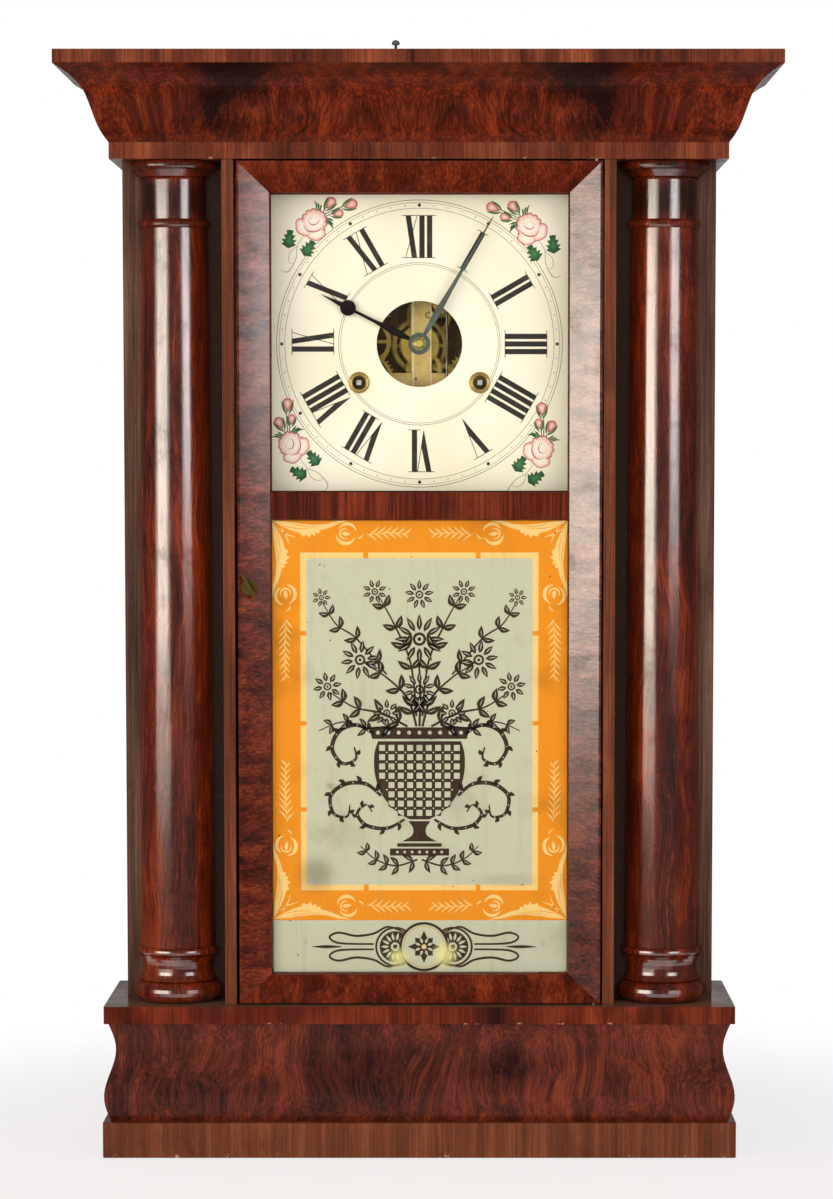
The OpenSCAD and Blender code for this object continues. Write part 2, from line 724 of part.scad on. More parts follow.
module centre_arbor() color("goldenrod") at([0, 0]) {
    difference() {
        rod(minute_y - 4, back_in_y - shake, centre_r);
        rotate([0, minute_angle, 0]) translate([0, minute_y - 2.2, -5]) cylinder(h = 10, r = 0.5);
    }
    rod(back_in_y - shake - 1, back_out_y + 0.4, pivot_r);
    slab(motion_level, wheel_t) difference() {
        polygon(teeth(cannon_n, motion_m, heading([0, 0], motion_at)));
        circle(centre_r - 0.1);
    }
    wheel(centre_level, wheel_t, centre_n, centre_m, heading([0, 0], second_at));
    wheel(great_level, wheel_t, centre_drive_n, third_lantern_m, heading([0, 0], third_at), 1);
}
module hour_wheel() color("gold") at([0, 0]) {
    difference() {
        union() {
            rod(hour_y - 0.6, hour_level + wheel_t, pipe_r);
            wheel(hour_level, wheel_t, hour_n, motion_m, heading([0, 0], motion_at), spokes = 0);
        }
        rod(hour_y - 2, hour_level + wheel_t + 1, pipe_in_r);
    }
}
module motion_wheel() color("gold") at(motion_at) difference() {
    union() {
        wheel(motion_level, wheel_t, motion_n, motion_m, heading(motion_at, [0, 0]), 1);
        wheel(hour_level, wheel_t, motion_pinion_n, motion_m, heading(motion_at, [0, 0]), 1, 0, 0);
        rod(hour_level, motion_level + wheel_t, 1.9);
    }
    rod(hour_level - 1, motion_level + wheel_t + 1, stud_r + run);
}
// Great wheel, loose on the winding arbor, with the click that rides on the drum's ratchet
module great_wheel(aim) {
    difference() {
        union() {
            wheel(great_level, great_t, great_n, great_m, aim, 1, 0, 5);
            slab(great_level + great_t, 1.4) difference() {
                bar2d([0, 11.6], [9, 14], 3);
                circle(ratchet_r + 0.2);
            }
        }
        rod(great_level - 1, great_level + great_t + 3, winding_r + run);
    }
}
module drum() {
    key_y = dial_y - 2.4;
    key_w = 3.3;
    round_y = front_y - 1;
    slab(key_y, round_y - key_y) square(key_w, center = true);
    rod(round_y, drum_level, winding_r);
    rod(drum_level, back_out_y + 1, winding_r);
    slab(great_level + great_t + seat, drum_level - great_level - great_t - seat)
        polygon([for (i = [0:15], k = [0, 1]) polar(k == 0 ? ratchet_r : ratchet_r - 1.8, i * 22.5 + k * 3)]);
    for (y = [drum_level, back_in_y - 1.6]) rod(y, y + 1.2, drum_r + 4.2);
    rod(drum_level, back_in_y - 0.4, drum_r);
}
module time_great_wheel() color("gold") at(time_at) great_wheel(heading(time_at, second_at));
module strike_great_wheel() color("gold") at(strike_at) great_wheel(heading(strike_at, pin_at));
module time_drum() color("peru") at(time_at) drum();
module strike_drum() color("peru") at(strike_at) drum();
module second_wheel() color("gold") at(second_at) {
    arbor();
    wheel(centre_level, wheel_t, second_n, centre_m, heading(second_at, [0, 0]), 1);
    lantern(great_level - 0.8, great_t + 1.6, lantern_n, great_m, heading(second_at, time_at));
}
module third_wheel() color("gold") at(third_at) {
    arbor(0.9);
    wheel(third_level, wheel_t, third_n, third_m, heading(third_at, escape_at), 1);
    lantern(great_level - 0.7, wheel_t + 1.4, third_lantern_n, third_lantern_m, heading(third_at, [0, 0]));
}
module escape_wheel() color("gold") at(escape_at) {
    rod(escape_y - 0.4, third_level - 3, escape_arbor_r);
    rod(third_level - 3, back_in_y - shake, 0.8);
    rod(back_in_y - shake, back_out_y + 0.4, pivot_r);
    lantern(third_level - 0.7, wheel_t + 1.4, escape_lantern_n, third_m, heading(escape_at, third_at));
    step = 360 / escape_n;
    slab(escape_y, 1) difference() {
        polygon([for (i = [0:escape_n - 1], k = [0, 1])
            polar(k == 0 ? escape_r : escape_r - 1.6, i * step + k * step * 0.3)]);
        difference() {
            circle(escape_r - 3);
            circle(2.6);
            for (i = [0:2]) rotate(i * 120) translate([0, -0.8]) square([escape_r, 1.6]);
        }
    }
}
// Bent strip verge with two pallets just clear of the escape wheel, and the crutch that loops the rod
module verge() color("silver") at(verge_at) {
    reach = 9.5;
    drop = 2.3;
    strip = 1.6;
    loop_r = rod_r + 1.1;
    difference() {
        union() {
            slab(verge_y, 2) {
                for (side = [-1, 1]) {
                    elbow = [side * reach, -3];
                    bar2d(elbow, [0, 0], strip);
                    bar2d(elbow, elbow - [0, drop], strip);
                    disc2d(elbow, strip / 2 + 0.1);
                }
            }
            rod(verge_y - 1, verge_y + 2, 2.2);
        }
        rod(verge_y - 3, verge_y + 4, stud_r + run);
    }
    translate([0, verge_y - 0.9, -crutch_drop + loop_r]) cylinder(h = crutch_drop - loop_r - 1.2, r = 0.5);
    translate([0, rod_y, -crutch_drop]) difference() {
        box([-loop_r - 0.6, -loop_r - 0.6, -0.6], [loop_r + 0.6, verge_y - rod_y, 0.6]);
        box([-loop_r, -loop_r, -1], [loop_r, loop_r, 1]);
    }
    translate([0, verge_y - 0.9, -crutch_drop + 0.6]) cylinder(h = loop_r, r = 0.5);
}
module pendulum_rod() color("silver") at(suspension_at) {
    box([-0.15, rod_y - 0.9, -10], [0.15, rod_y + 0.9, -0.2]);
    box([-1, rod_y - 0.9, -12], [1, rod_y + 0.9, -10]);
    to_bob = pendulum_l - bob_r + bob_bore;
    translate([0, rod_y, -to_bob]) cylinder(h = to_bob - 11, r = rod_r);
}
module pendulum_bob() color("goldenrod") at(suspension_at) translate([0, rod_y, -pendulum_l]) difference() {
    lens = [[0, 4], [0.35, 3.7], [0.62, 3], [0.84, 1.9], [1, 1]];
    rotate([90, 0, 0]) rotate_extrude()
        polygon(concat([for (p = lens) [p[0] * bob_r, p[1]]],
            [for (i = [1:len(lens)]) let (p = lens[len(lens) - i]) [p[0] * bob_r, -p[1]]]));
    translate([0, 0, bob_r - bob_bore]) cylinder(h = 2 * bob_bore, r = rod_r);
}

// Strike side
module pin_wheel() color("gold") at(pin_at) {
    arbor();
    lantern(great_level - 0.8, great_t + 1.6, lantern_n, great_m, heading(pin_at, strike_at));
    wheel(pin_wheel_level, wheel_t, pin_n, pin_m, heading(pin_at, fly_at), 1);
    for (i = [0:7]) rod(pin_wheel_level - 2.4, pin_wheel_level, 0.5, polar(lift_pin_r, i * 45));
}
module strike_fly() color("silver") at(fly_at) {
    arbor(1);
    lantern(pin_wheel_level - 0.7, wheel_t + 1.4, fly_lantern_n, pin_m, heading(fly_at, pin_at));
    slab(fly_level, 10) {
        translate([-11, -0.4]) square([22, 0.8]);
        circle(2);
    }
}
// The arm on the hammer's arbor ends just short of the lifting pins, and its wire hangs to the gong
module hammer() color("silver") at(hammer_at) {
    head_l = 9;
    head_r = 4.5;
    wire = [-(gong_r + gong_wire_r + 0.4 + head_l / 2), gong_z - dial_z] - hammer_at;
    to_pins = pin_at - hammer_at;
    tail = to_pins * (1 - (lift_pin_r + 1.6) / norm(to_pins));
    arbor();
    slab(pin_wheel_level - 2.3, 1.6) difference() {
        union() {
            bar2d([0, 0], tail, 2.4);
            disc2d([0, 0], 2.6);
        }
        circle(0.5);
    }
    translate([0, gong_y, 0]) rotate([0, 90 - heading([0, 0], wire), 0]) cylinder(h = norm(wire), r = 0.9);
    translate([wire[0] - head_l / 2, gong_y, wire[1]]) rotate([0, 90, 0]) cylinder(h = head_l, r = head_r);
}
// Flat wire spiral drawn as half turns about two centres
module gong_coil() color("dimgray") translate([0, gong_y, gong_z]) rotate([90, 0, 0]) {
    for (i = [0:2 * gong_turns - 1])
        translate([(i % 2 == 0 ? 1 : -1) * gong_pitch / 4, 0, 0]) rotate(i % 2 == 0 ? 0 : 180)
            rotate_extrude(angle = 180) translate([gong_start_r + gong_pitch / 4 + i * gong_pitch / 2, 0])
            circle(gong_wire_r);
}
module gong_stand() color("dimgray") translate([0, 0, gong_z]) {
    rod(back_face_y - 6, back_face_y, 22);
    rod(gong_y + gong_wire_r, back_face_y - 6, 3, [gong_start_r + gong_pitch / 2, 0]);
}

// Weights with a wire eye, hung on cords over the pulleys
module weight() {
    eye_r = 3.6;
    translate([weight_x, cord_y, 0]) {
        translate([0, 0, weight_z]) rotate_extrude()
            polygon([[0, 0], [weight_r - 1.5, 0], [weight_r, 1.5], [weight_r, weight_h - 4],
                [weight_r - 4, weight_h], [0, weight_h]]);
        translate([0, 0, weight_top - eye_r - 1]) rotate([90, 0, 0]) rotate_extrude()
            translate([eye_r, 0]) circle(1);
        translate([0, 0, weight_z + weight_h - 1])
            cylinder(h = weight_top - weight_z - weight_h - 2 * eye_r, r = 1.2);
    }
}
module time_weight() color("dimgray") weight();
module strike_weight() color("dimgray") mirror([1, 0, 0]) weight();
module pulley() {
    rim = pulley_r + 2.5;
    groove = pulley_r - cord_r - run;
    half = pulley_t / 2;
    side = [[axle_r + run, half], [rim, half], [rim, half - 1], [groove, cord_r + 0.2]];
    translate([pulley_x, cord_y, pulley_z]) rotate([90, 0, 0]) rotate_extrude()
        polygon(concat(side, [for (i = [1:len(side)]) let (p = side[len(side) - i]) [p[0], -p[1]]]));
}
module time_pulley() color("peru") pulley();
module strike_pulley() color("peru") mirror([1, 0, 0]) pulley();
module pulley_brackets() color("tan") {
    cheek = 6;
    for (side = [-1, 1]) {
        for (y = [cord_y - slot_w / 2 - cheek, cord_y + slot_w / 2]) difference() {
            box([side * pulley_x - 12, y, cornice_z], [side * pulley_x + 12, y + cheek, cornice_z + 14]);
            rod(y - 1, y + cheek + 1, axle_r, [side * pulley_x, pulley_z]);
        }
        rod(cord_y - slot_w / 2 - cheek, cord_y + slot_w / 2 + cheek, axle_r, [side * pulley_x, pulley_z]);
    }
}
module cord_run() {
    translate([pulley_x, cord_y, pulley_z]) rotate([90, 0, 0]) {
        rotate_extrude(angle = run_turn) translate([pulley_r, 0]) circle(cord_r);
        rotate(run_turn) translate([pulley_r, 0]) rotate([-90, 0, 0])
            cylinder(h = norm(run_end - run_start), r = cord_r);
    }
}
module cord_runs() color("wheat") {
    cord_run();
    mirror([1, 0, 0]) cord_run();
}
module cord_fall() {
    translate([weight_x, cord_y, weight_top + seat]) cylinder(h = pulley_z - weight_top - seat, r = cord_r);
}
module time_cord_fall() color("wheat") cord_fall();
module strike_cord_fall() color("wheat") mirror([1, 0, 0]) cord_fall();

plinth();
base_ogee();
ledge_board();
case_side_left();
case_side_right();
back_board();
pilaster_left();
pilaster_right();
jamb_left();
jamb_right();
column_left();
column_right();
frieze_board();
cornice_ogee();
cornice_cap();
door_stile_left();
door_stile_right();
door_top_rail();
door_middle_rail();
door_bottom_rail();
dial_glass();
tablet_glass();
glazing_strips();
hinge_pins();
door_catch();
dial_board();
dial_grommets();
dial_cleats();
hour_hand();
minute_hand();
hand_collet();
front_plate();
back_plate();
movement_rails();
centre_arbor();
hour_wheel();
motion_wheel();
time_great_wheel();
time_drum();
second_wheel();
third_wheel();
escape_wheel();
verge();
pendulum_rod();
pendulum_bob();
strike_great_wheel();
strike_drum();
pin_wheel();
strike_fly();
hammer();
gong_coil();
gong_stand();
time_weight();
strike_weight();
time_pulley();
strike_pulley();
pulley_brackets();
cord_runs();
time_cord_fall();
strike_cord_fall();
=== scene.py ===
"""The looks of the column and cornice shelf clock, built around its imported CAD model."""
import math
import random

import bmesh
import bpy
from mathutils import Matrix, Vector
from mathutils.geometry import tessellate_polygon


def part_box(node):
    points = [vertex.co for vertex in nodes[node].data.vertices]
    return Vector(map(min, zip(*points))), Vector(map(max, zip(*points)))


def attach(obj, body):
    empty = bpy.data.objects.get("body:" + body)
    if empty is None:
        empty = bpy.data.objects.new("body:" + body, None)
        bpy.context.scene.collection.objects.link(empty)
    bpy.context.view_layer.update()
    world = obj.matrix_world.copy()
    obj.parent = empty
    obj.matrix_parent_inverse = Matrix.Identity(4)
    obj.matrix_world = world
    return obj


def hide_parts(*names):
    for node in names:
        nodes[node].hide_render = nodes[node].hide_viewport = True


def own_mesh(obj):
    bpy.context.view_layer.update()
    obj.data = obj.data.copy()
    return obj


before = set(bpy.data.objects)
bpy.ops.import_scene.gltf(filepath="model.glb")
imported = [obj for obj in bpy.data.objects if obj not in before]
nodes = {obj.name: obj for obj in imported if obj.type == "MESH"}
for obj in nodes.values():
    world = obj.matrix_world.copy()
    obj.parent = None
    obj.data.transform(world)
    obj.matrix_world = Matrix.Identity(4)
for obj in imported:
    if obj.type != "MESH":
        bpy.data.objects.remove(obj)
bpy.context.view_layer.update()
rng = random.Random(11)

MM = 0.001


def rgb(red, green, blue):
    """A colour written as the 0 to 255 values it shows on a screen."""
    parts = [v / 255 for v in (red, green, blue)]
    return [v / 12.92 if v <= 0.04045 else ((v + 0.055) / 1.055) ** 2.4 for v in parts] + [1.0]


def placed(name, data):
    """A new object in the scene."""
    made = bpy.data.objects.new(name, data)
    bpy.context.scene.collection.objects.link(made)
    return made


def mesh_piece(name, points, faces, made):
    """A mesh object with one material."""
    mesh = bpy.data.meshes.new(name)
    mesh.from_pydata(points, [], faces)
    mesh.materials.append(made)
    return placed(name, mesh)


def tube(sides, rows):
    """Faces of a closed tube whose points lie in rows + 1 rings."""
    faces = [(low + i, low + (i + 1) % sides, low + sides + (i + 1) % sides, low + sides + i)
             for low in range(0, rows * sides, sides) for i in range(sides)]
    return faces + [tuple(range(sides))[::-1], tuple(range(rows * sides, (rows + 1) * sides))]


# Camera, at the view of the photo

cam_data = bpy.data.cameras.new("camera")
camera = placed("camera", cam_data)
bpy.context.scene.camera = camera
cam_data.sensor_width = 36
cam_data.lens = 108.09
cam_data.shift_x = -0.0263
cam_data.shift_y = 0.113
camera.location = (0.0193, -2.44725, 0.4755)
camera.rotation_euler = (math.radians(90 - 4.508), 0, 0)
bpy.context.scene.view_settings.view_transform = "Standard"


# Node graphs


class Graph:
    """One material or world, put together from nodes. Positions are object coordinates in metres."""

    def __init__(self, owner):
        owner.use_nodes = True
        self.owner = owner
        self.tree = owner.node_tree
        self.tree.nodes.clear()
        self.coordinates = None

    def add(self, kind, inputs=(), **settings):
        made = self.tree.nodes.new("ShaderNode" + kind)
        for key, value in settings.items():
            setattr(made, key, value)
        for key, value in dict(inputs).items():
            self.feed(made.inputs[key], value)
        return made

    def feed(self, socket, value):
        if isinstance(value, bpy.types.NodeSocket):
            self.tree.links.new(value, socket)
        else:
            socket.default_value = value

    def where(self):
        if self.coordinates is None:
            self.coordinates = self.add("TexCoord").outputs["Object"]
        return self.coordinates

    def place(self, scale, shift=(0, 0, 0), source=None):
        source = source or self.where()
        return self.add("Mapping", {"Vector": source, "Scale": scale, "Location": shift}).outputs[0]

    def split(self, source=None):
        return self.add("SeparateXYZ", {0: source or self.where()}).outputs

    def join(self, x, y, z):
        return self.add("CombineXYZ", {0: x, 1: y, 2: z}).outputs[0]

    def calc(self, operation, *values):
        return self.add("Math", dict(enumerate(values)), operation=operation).outputs[0]

    def plus(self, first, second):
        return self.calc("ADD", first, second)

    def minus(self, first, second):
        return self.calc("SUBTRACT", first, second)

    def times(self, first, second):
        return self.calc("MULTIPLY", first, second)

    def swing(self, value, amount, onto):
        """A value's distance from one half, times an amount, added to another value."""
        return self.calc("MULTIPLY_ADD", self.minus(value, 0.5), amount, onto)

    def far(self, dx, dz):
        """How far a place is from a centre, from its two offsets."""
        return self.calc("SQRT", self.plus(self.times(dx, dx), self.times(dz, dz)))

    def span(self, value, low, high, to_low=0.0, to_high=1.0):
        inputs = {0: value, 1: low, 2: high, 3: to_low, 4: to_high}
        return self.add("MapRange", inputs, interpolation_type="SMOOTHSTEP").outputs[0]

    def noise(self, vector, detail, rough=0.5, warp=0.0):
        inputs = {"Vector": vector, "Scale": 1.0, "Detail": detail, "Roughness": rough, "Distortion": warp}
        return self.add("TexNoise", inputs).outputs["Fac"]

    def grit(self, pitch, detail, rough=0.5, shift=(0, 0, 0)):
        """Noise that is alike in all directions, with so many swings per metre."""
        return self.noise(self.place((pitch, pitch, pitch), shift), detail, rough)

    def mix(self, amount, first, second, blend="MIX"):
        made = self.add("Mix", {0: amount, 6: first, 7: second}, data_type="RGBA", blend_type=blend)
        return made.outputs[2]

    def ramp(self, value, stops):
        made = self.add("ValToRGB", {0: value})
        marks = made.color_ramp.elements
        while len(marks) < len(stops):
            marks.new(0.5)
        for mark, (position, colour) in zip(marks, stops):
            mark.position = position
            mark.color = colour
        return made.outputs[0]

    def bump(self, height, strength, depth, under=None):
        inputs = {"Height": height, "Strength": strength, "Distance": depth}
        if under is not None:
            inputs["Normal"] = under
        return self.add("Bump", inputs).outputs[0]

    def surface(self, colour, rough, normal=None, **extra):
        inputs = {"Base Color": colour, "Roughness": rough}
        if normal is not None:
            inputs["Normal"] = normal
        inputs.update({key.replace("_", " "): value for key, value in extra.items()})
        return self.show(self.add("BsdfPrincipled", inputs).outputs[0])

    def show(self, shader):
        self.add("OutputMaterial", {0: shader})
        return self.owner


def material(name):
    return Graph(bpy.data.materials.new(name))


# Woods


def spots(g, marks):
    """Soft ellipses on the front: each is x, z, half width and half height in mm, and how much it darkens."""
    x, y, z = g.split()
    total = None
    for at_x, at_z, half_x, half_z, amount in marks:
        dx = g.calc("DIVIDE", g.minus(x, at_x * MM), half_x * MM)
        dz = g.calc("DIVIDE", g.minus(z, at_z * MM), half_z * MM)
        spot = g.span(g.far(dx, dz), 0.2, 1.3, amount, 0)
        total = spot if total is None else g.plus(total, spot)
    return total


def wood(name, grain, tones, seed, figure, fibre, flame=0.0, mirror=None, marks=(), rough=(0.28, 0.42),
         coat=0.05, dust=0.0, chips=None, relief=0.12, patches=None, lustre=2.0, haze=0.21):
    """Varnished or worn wood. tones are dark, middle and light. mirror is the x of a book-matched seam."""
    g = material(name)
    point = g.where()
    if mirror is not None:
        x, y, z = g.split()
        point = g.join(g.calc("ABSOLUTE", g.minus(x, mirror)), y, z)
    shift = (seed, seed * 1.7, seed * 0.6)
    if flame:
        eddies = {"Vector": g.place((9, 9, 9), shift, point), "Scale": 1.0, "Detail": 2.0}
        swirl = g.add("TexNoise", eddies).outputs["Color"]
        swirl = g.add("VectorMath", {0: swirl, 1: (0.5, 0.5, 0.5)}, operation="SUBTRACT").outputs[0]
        swirl = g.add("VectorMath", {0: swirl, 3: flame}, operation="SCALE").outputs[0]
        point = g.add("VectorMath", {0: point, 1: swirl}, operation="ADD").outputs[0]

    def grained(along, across, detail, fine, warp=0.0):
        """Noise drawn out along the grain, with so many swings per metre along it and across it."""
        pitch = tuple(along if axis == grain else across for axis in "xyz")
        return g.noise(g.place(pitch, shift, point), detail, fine, warp)

    threads = grained(12, 700, 4.0, 0.6)
    streaks = grained(5, 110, 4.0, 0.55, 0.3)
    clouds = grained(9, 26, 3.0, 0.55, 0.6)
    tone = g.swing(clouds, figure * 1.7, 0.5)
    tone = g.swing(streaks, fibre * 1.3, tone)
    tone = g.swing(threads, fibre * 1.4, tone)
    if marks:
        tone = g.minus(tone, spots(g, marks))
    dark, middle, light = tones
    colour = g.ramp(tone, [(0.12, dark), (0.5, middle), (0.88, light)])
    pore = g.span(grained(90, 2100, 2.0, 0.5), 0.6, 0.7)
    colour = g.mix(g.times(pore, 0.6), colour, dark)
    fleck = grained(260, 1100, 3.0, 0.6)
    colour = g.mix(g.span(fleck, 0.62, 0.72, 0, 0.6), colour, light)
    grime = g.grit(38, 5.0, 0.65, shift)
    colour = g.mix(g.span(grime, 0.52, 0.74, 0, 0.35), colour, dark)
    if chips is not None:
        colour = chips(g, colour)
    if dust:
        up = g.split(g.add("NewGeometry").outputs["Normal"])[2]
        settled = g.times(g.span(up, 0.55, 0.95), dust)
        settled = g.times(settled, g.span(grime, 0.25, 0.6, 0.6, 1.0))
        colour = g.mix(settled, colour, rgb(116, 88, 70))
    gloss = g.span(g.grit(60, 4.0, 0.6, shift), 0.3, 0.7, rough[0], rough[1])
    height = g.calc("MULTIPLY_ADD", pore, -0.8, threads)
    normal = g.bump(height, relief, 0.4 * MM)
    normal = g.bump(g.grit(55, 2.0, 0.5, shift), 0.05, 2 * MM, normal)
    varnish = g.plus(streaks, g.times(threads, 0.5))
    varnish = g.times(g.span(varnish, 0.5, 1.0, 0.75, 1.0), coat)
    varnish = g.times(varnish, g.span(grime, 0.5, 0.72, 1.0, 0.6))
    if patches is not None:
        varnish = g.times(varnish, patches(g))
    skin = g.bump(g.calc("MULTIPLY_ADD", streaks, 3.0, threads), 0.1, 0.3 * MM)
    return g.surface(colour, gloss, normal, Coat_Weight=varnish, Coat_Roughness=haze, Coat_IOR=lustre,
                     Coat_Normal=skin, Specular_IOR_Level=0.09)


def worn_edge(low, high, tone, amount=0.8):
    """Small chips down to the bare wood, between two heights in mm, thickest at the first."""
    def paint(g, under):
        x, y, z = g.split()
        near = g.span(z, low * MM, high * MM, 1.0, 0.0)
        bits = g.span(g.grit(110, 4.0, 0.7), 0.6, 0.66)
        return g.mix(g.times(g.times(near, bits), amount), under, tone)
    return paint


RED = (rgb(52, 18, 8), rgb(100, 42, 22), rgb(148, 74, 40))
DEEP = (rgb(36, 10, 3), rgb(86, 25, 6), rgb(132, 50, 16))
FLAME = (rgb(30, 9, 4), rgb(80, 23, 5), rgb(130, 46, 13))
EMBER = (rgb(34, 8, 2), rgb(88, 25, 5), rgb(146, 52, 14))
EARTH = (rgb(36, 12, 8), rgb(82, 31, 18), rgb(128, 52, 27))
BROWN = (rgb(62, 30, 16), rgb(102, 50, 28), rgb(138, 78, 48))
DULL = (rgb(50, 29, 20), rgb(82, 53, 40), rgb(112, 80, 64))
BARE = rgb(206, 168, 132)
PINE = (rgb(120, 84, 50), rgb(164, 124, 80), rgb(196, 158, 110))


def paint_nodes(names, made):
    for name in names:
        obj = nodes[name]
        obj.data.materials.clear()
        obj.data.materials.append(made)


def wooden(names, *look, **finish):
    """Gives CAD pieces one wood. look and finish are the arguments of wood."""
    paint_nodes(names, wood(*look, **finish))


LEDGE_LOW = 91.0
FRIEZE_LOW = 668.6
COLUMN_X = 164.6
DOOR_SIDE_X = 138
SEAM_X = -7

wooden(["plinth"], "plinth wood", "z", BROWN, 3.1, 0.35, 0.6, chips=worn_edge(0.5, 4.0, BARE))
wooden(["base_ogee"], "base veneer", "z", EARTH, 5.3, 0.6, 0.8, flame=0.06, rough=(0.3, 0.46), coat=0.07,
       marks=[(-150, 40, 26, 18, 0.2), (60, 60, 40, 14, 0.2), (186, 50, 14, 30, 0.2)])
wooden(["ledge_board"], "ledge wood", "z", DEEP, 7.7, 0.8, 0.5, dust=0.75,
       chips=worn_edge(LEDGE_LOW, LEDGE_LOW + 1.6, BARE, 0.6))
for hand, seed in (("left", 9.2), ("right", 10.9)):
    wooden(["case_side_" + hand], hand + " side veneer", "z", BROWN, seed, 0.5, 0.6, flame=0.02)
wooden(["back_board"], "back pine", "z", PINE, 2.4, 0.4, 0.5, rough=(0.6, 0.8), coat=0.0, relief=0.3)
# Painted shade: a dark strip down each pilaster beside the door, next to its column.
SHADE_BESIDE_DOOR = [(side * DOOR_SIDE_X, 385, 12, 900, 0.9) for side in (-1, 1)]
for hand, seed in (("left", 4.4), ("right", 5.1)):
    wooden(["pilaster_" + hand], hand + " pilaster wood", "z", DULL, seed, 0.35, 0.9,
           rough=(0.4, 0.6), coat=0.03, marks=SHADE_BESIDE_DOOR)
wooden(["jamb_left", "jamb_right"], "jamb wood", "z", BROWN, 6.6, 0.4, 0.7)
# Painted shade on each column's neck under its capital, and a thin band of it just under the frieze.
NECK_SHADE = [(side * COLUMN_X, *mark) for mark in ((643, 90, 13, 0.42), (664, 60, 5, 0.2)) for side in (-1, 1)]
for hand, seed in (("left", 8.1), ("right", 12.6)):
    wooden(["column_" + hand], hand + " column veneer", "z", EMBER, seed, 0.6, 0.8, flame=0.03,
           rough=(0.2, 0.34), coat=1.0, marks=NECK_SHADE, lustre=2.35, haze=0.14)
wooden(["frieze_board"], "frieze veneer", "z", RED, 13.3, 0.7, 0.6,
       chips=worn_edge(FRIEZE_LOW, FRIEZE_LOW + 1.8, BARE, 0.6))
PATCHES = [(SEAM_X + side * far, *mark) for side in (-1, 1)
           for far, *mark in ((117, 716, 26, 15, 0.42), (112, 726, 36, 8, 0.25),
                              (129, 702, 6, 9, 0.4), (118, 690, 20, 8, 0.2))]
wooden(["cornice_ogee"], "cornice veneer", "z", FLAME, 35.5, 0.38, 0.85, flame=0.05, mirror=SEAM_X * MM,
       marks=PATCHES)
wooden(["cornice_cap"], "cornice edge veneer", "z", RED, 16.2, 0.7, 0.6, dust=0.7)


def left_patches(g):
    """Where the left stile keeps its varnish: less towards its outer edge and its foot."""
    x, y, z = g.split()
    across = g.span(x, -0.121, -0.102, 0.42, 0.95)
    return g.times(across, g.span(z, 0.38, 0.58, 0.45, 1.0))


def right_patches(g):
    """Where the right stile keeps its varnish: less towards its foot."""
    x, y, z = g.split()
    return g.span(z, 0.12, 0.36, 0.5, 1.0)


wooden(["door_stile_left"], "left stile veneer", "x", DEEP, 17.7, 0.35, 1.0, coat=0.85, relief=0.25,
       marks=[(-112, 556, 30, 8, 0.25), (-112, 470, 30, 14, 0.15)], patches=left_patches)
wooden(["door_stile_right"], "right stile veneer", "x", DEEP, 27.7, 0.35, 1.0, coat=1.0, relief=0.25,
       marks=[(112, 409, 8, 6, -0.25)], lustre=2.15, patches=right_patches)
wooden(["door_top_rail", "door_middle_rail", "door_bottom_rail"], "rail veneer", "z", DEEP, 18.4, 0.35, 0.8)
wooden(["glazing_strips"], "glazing strip wood", "z", BROWN, 19.1, 0.3, 0.5)
wooden(["dial_cleats", "movement_rails"], "inner pine", "z", PINE, 20.3, 0.4, 0.5, rough=(0.6, 0.8), coat=0.0)
wooden(["time_pulley", "strike_pulley"], "pulley wood", "y", PINE, 21.3, 0.4, 0.5, rough=(0.5, 0.7), coat=0.0)


# Metals


def metal(name, tones, rough, seed, tarnish=0.5, metallic=1.0, grainy=0.06, turned=None,
          rings=(), strap=None):
    """turned is x and z of a lathe centre in mm, kept to both sides. rings are x, z and radius of dark rings.
    strap is the x of the middle and the half width of an upright strap whose edges get a painted highlight."""
    g = material(name)
    shift = (seed, seed, seed)
    cloud = g.grit(70, 5.0, 0.6, shift)
    speck = g.grit(420, 4.0, 0.6, shift)
    tone = g.swing(cloud, 1.8 * tarnish, 0.5)
    tone = g.swing(speck, 0.8 * tarnish, tone)
    colour = g.ramp(tone, [(0.1, tones[0]), (0.5, tones[1]), (0.9, tones[2])])
    gloss = g.span(tone, 0.2, 0.8, rough[1], rough[0])
    brushed = g.noise(g.place((1400, 1400, 90), shift), 2.0, 0.5)
    height = g.plus(g.times(brushed, 0.5), speck)
    x, y, z = g.split()

    def from_centre(centre_x, centre_z, source):
        return g.far(g.minus(source, centre_x * MM), g.minus(z, centre_z * MM))

    normal = g.bump(height, grainy, 0.3 * MM)
    if turned:
        groove = g.calc("SINE", g.times(from_centre(turned[0], turned[1], g.calc("ABSOLUTE", x)), 4200))
        colour = g.mix(g.span(groove, 0.1, 0.9, 0, 0.45), colour, tones[0])
        normal = g.bump(groove, 0.35, 0.25 * MM, normal)
    for ring_x, ring_z, radius in rings:
        off = g.calc("ABSOLUTE", g.minus(from_centre(ring_x, ring_z, x), radius * MM))
        colour = g.mix(g.span(off, 0.15 * MM, 0.7 * MM, 0.85, 0.0), colour, rgb(52, 34, 14))
    # Painted highlight: a pale line along each edge of the upright strap.
    if strap:
        out = g.calc("ABSOLUTE", g.minus(x, strap[0] * MM))
        edge = g.times(g.span(out, (strap[1] - 1.1) * MM, (strap[1] - 0.8) * MM),
                      g.span(out, (strap[1] + 0.1) * MM, (strap[1] + 0.2) * MM, 1.0, 0.0))
        colour = g.mix(g.times(edge, 0.85), colour, rgb(255, 246, 206))
    return g.surface(colour, gloss, normal, Metallic=metallic)


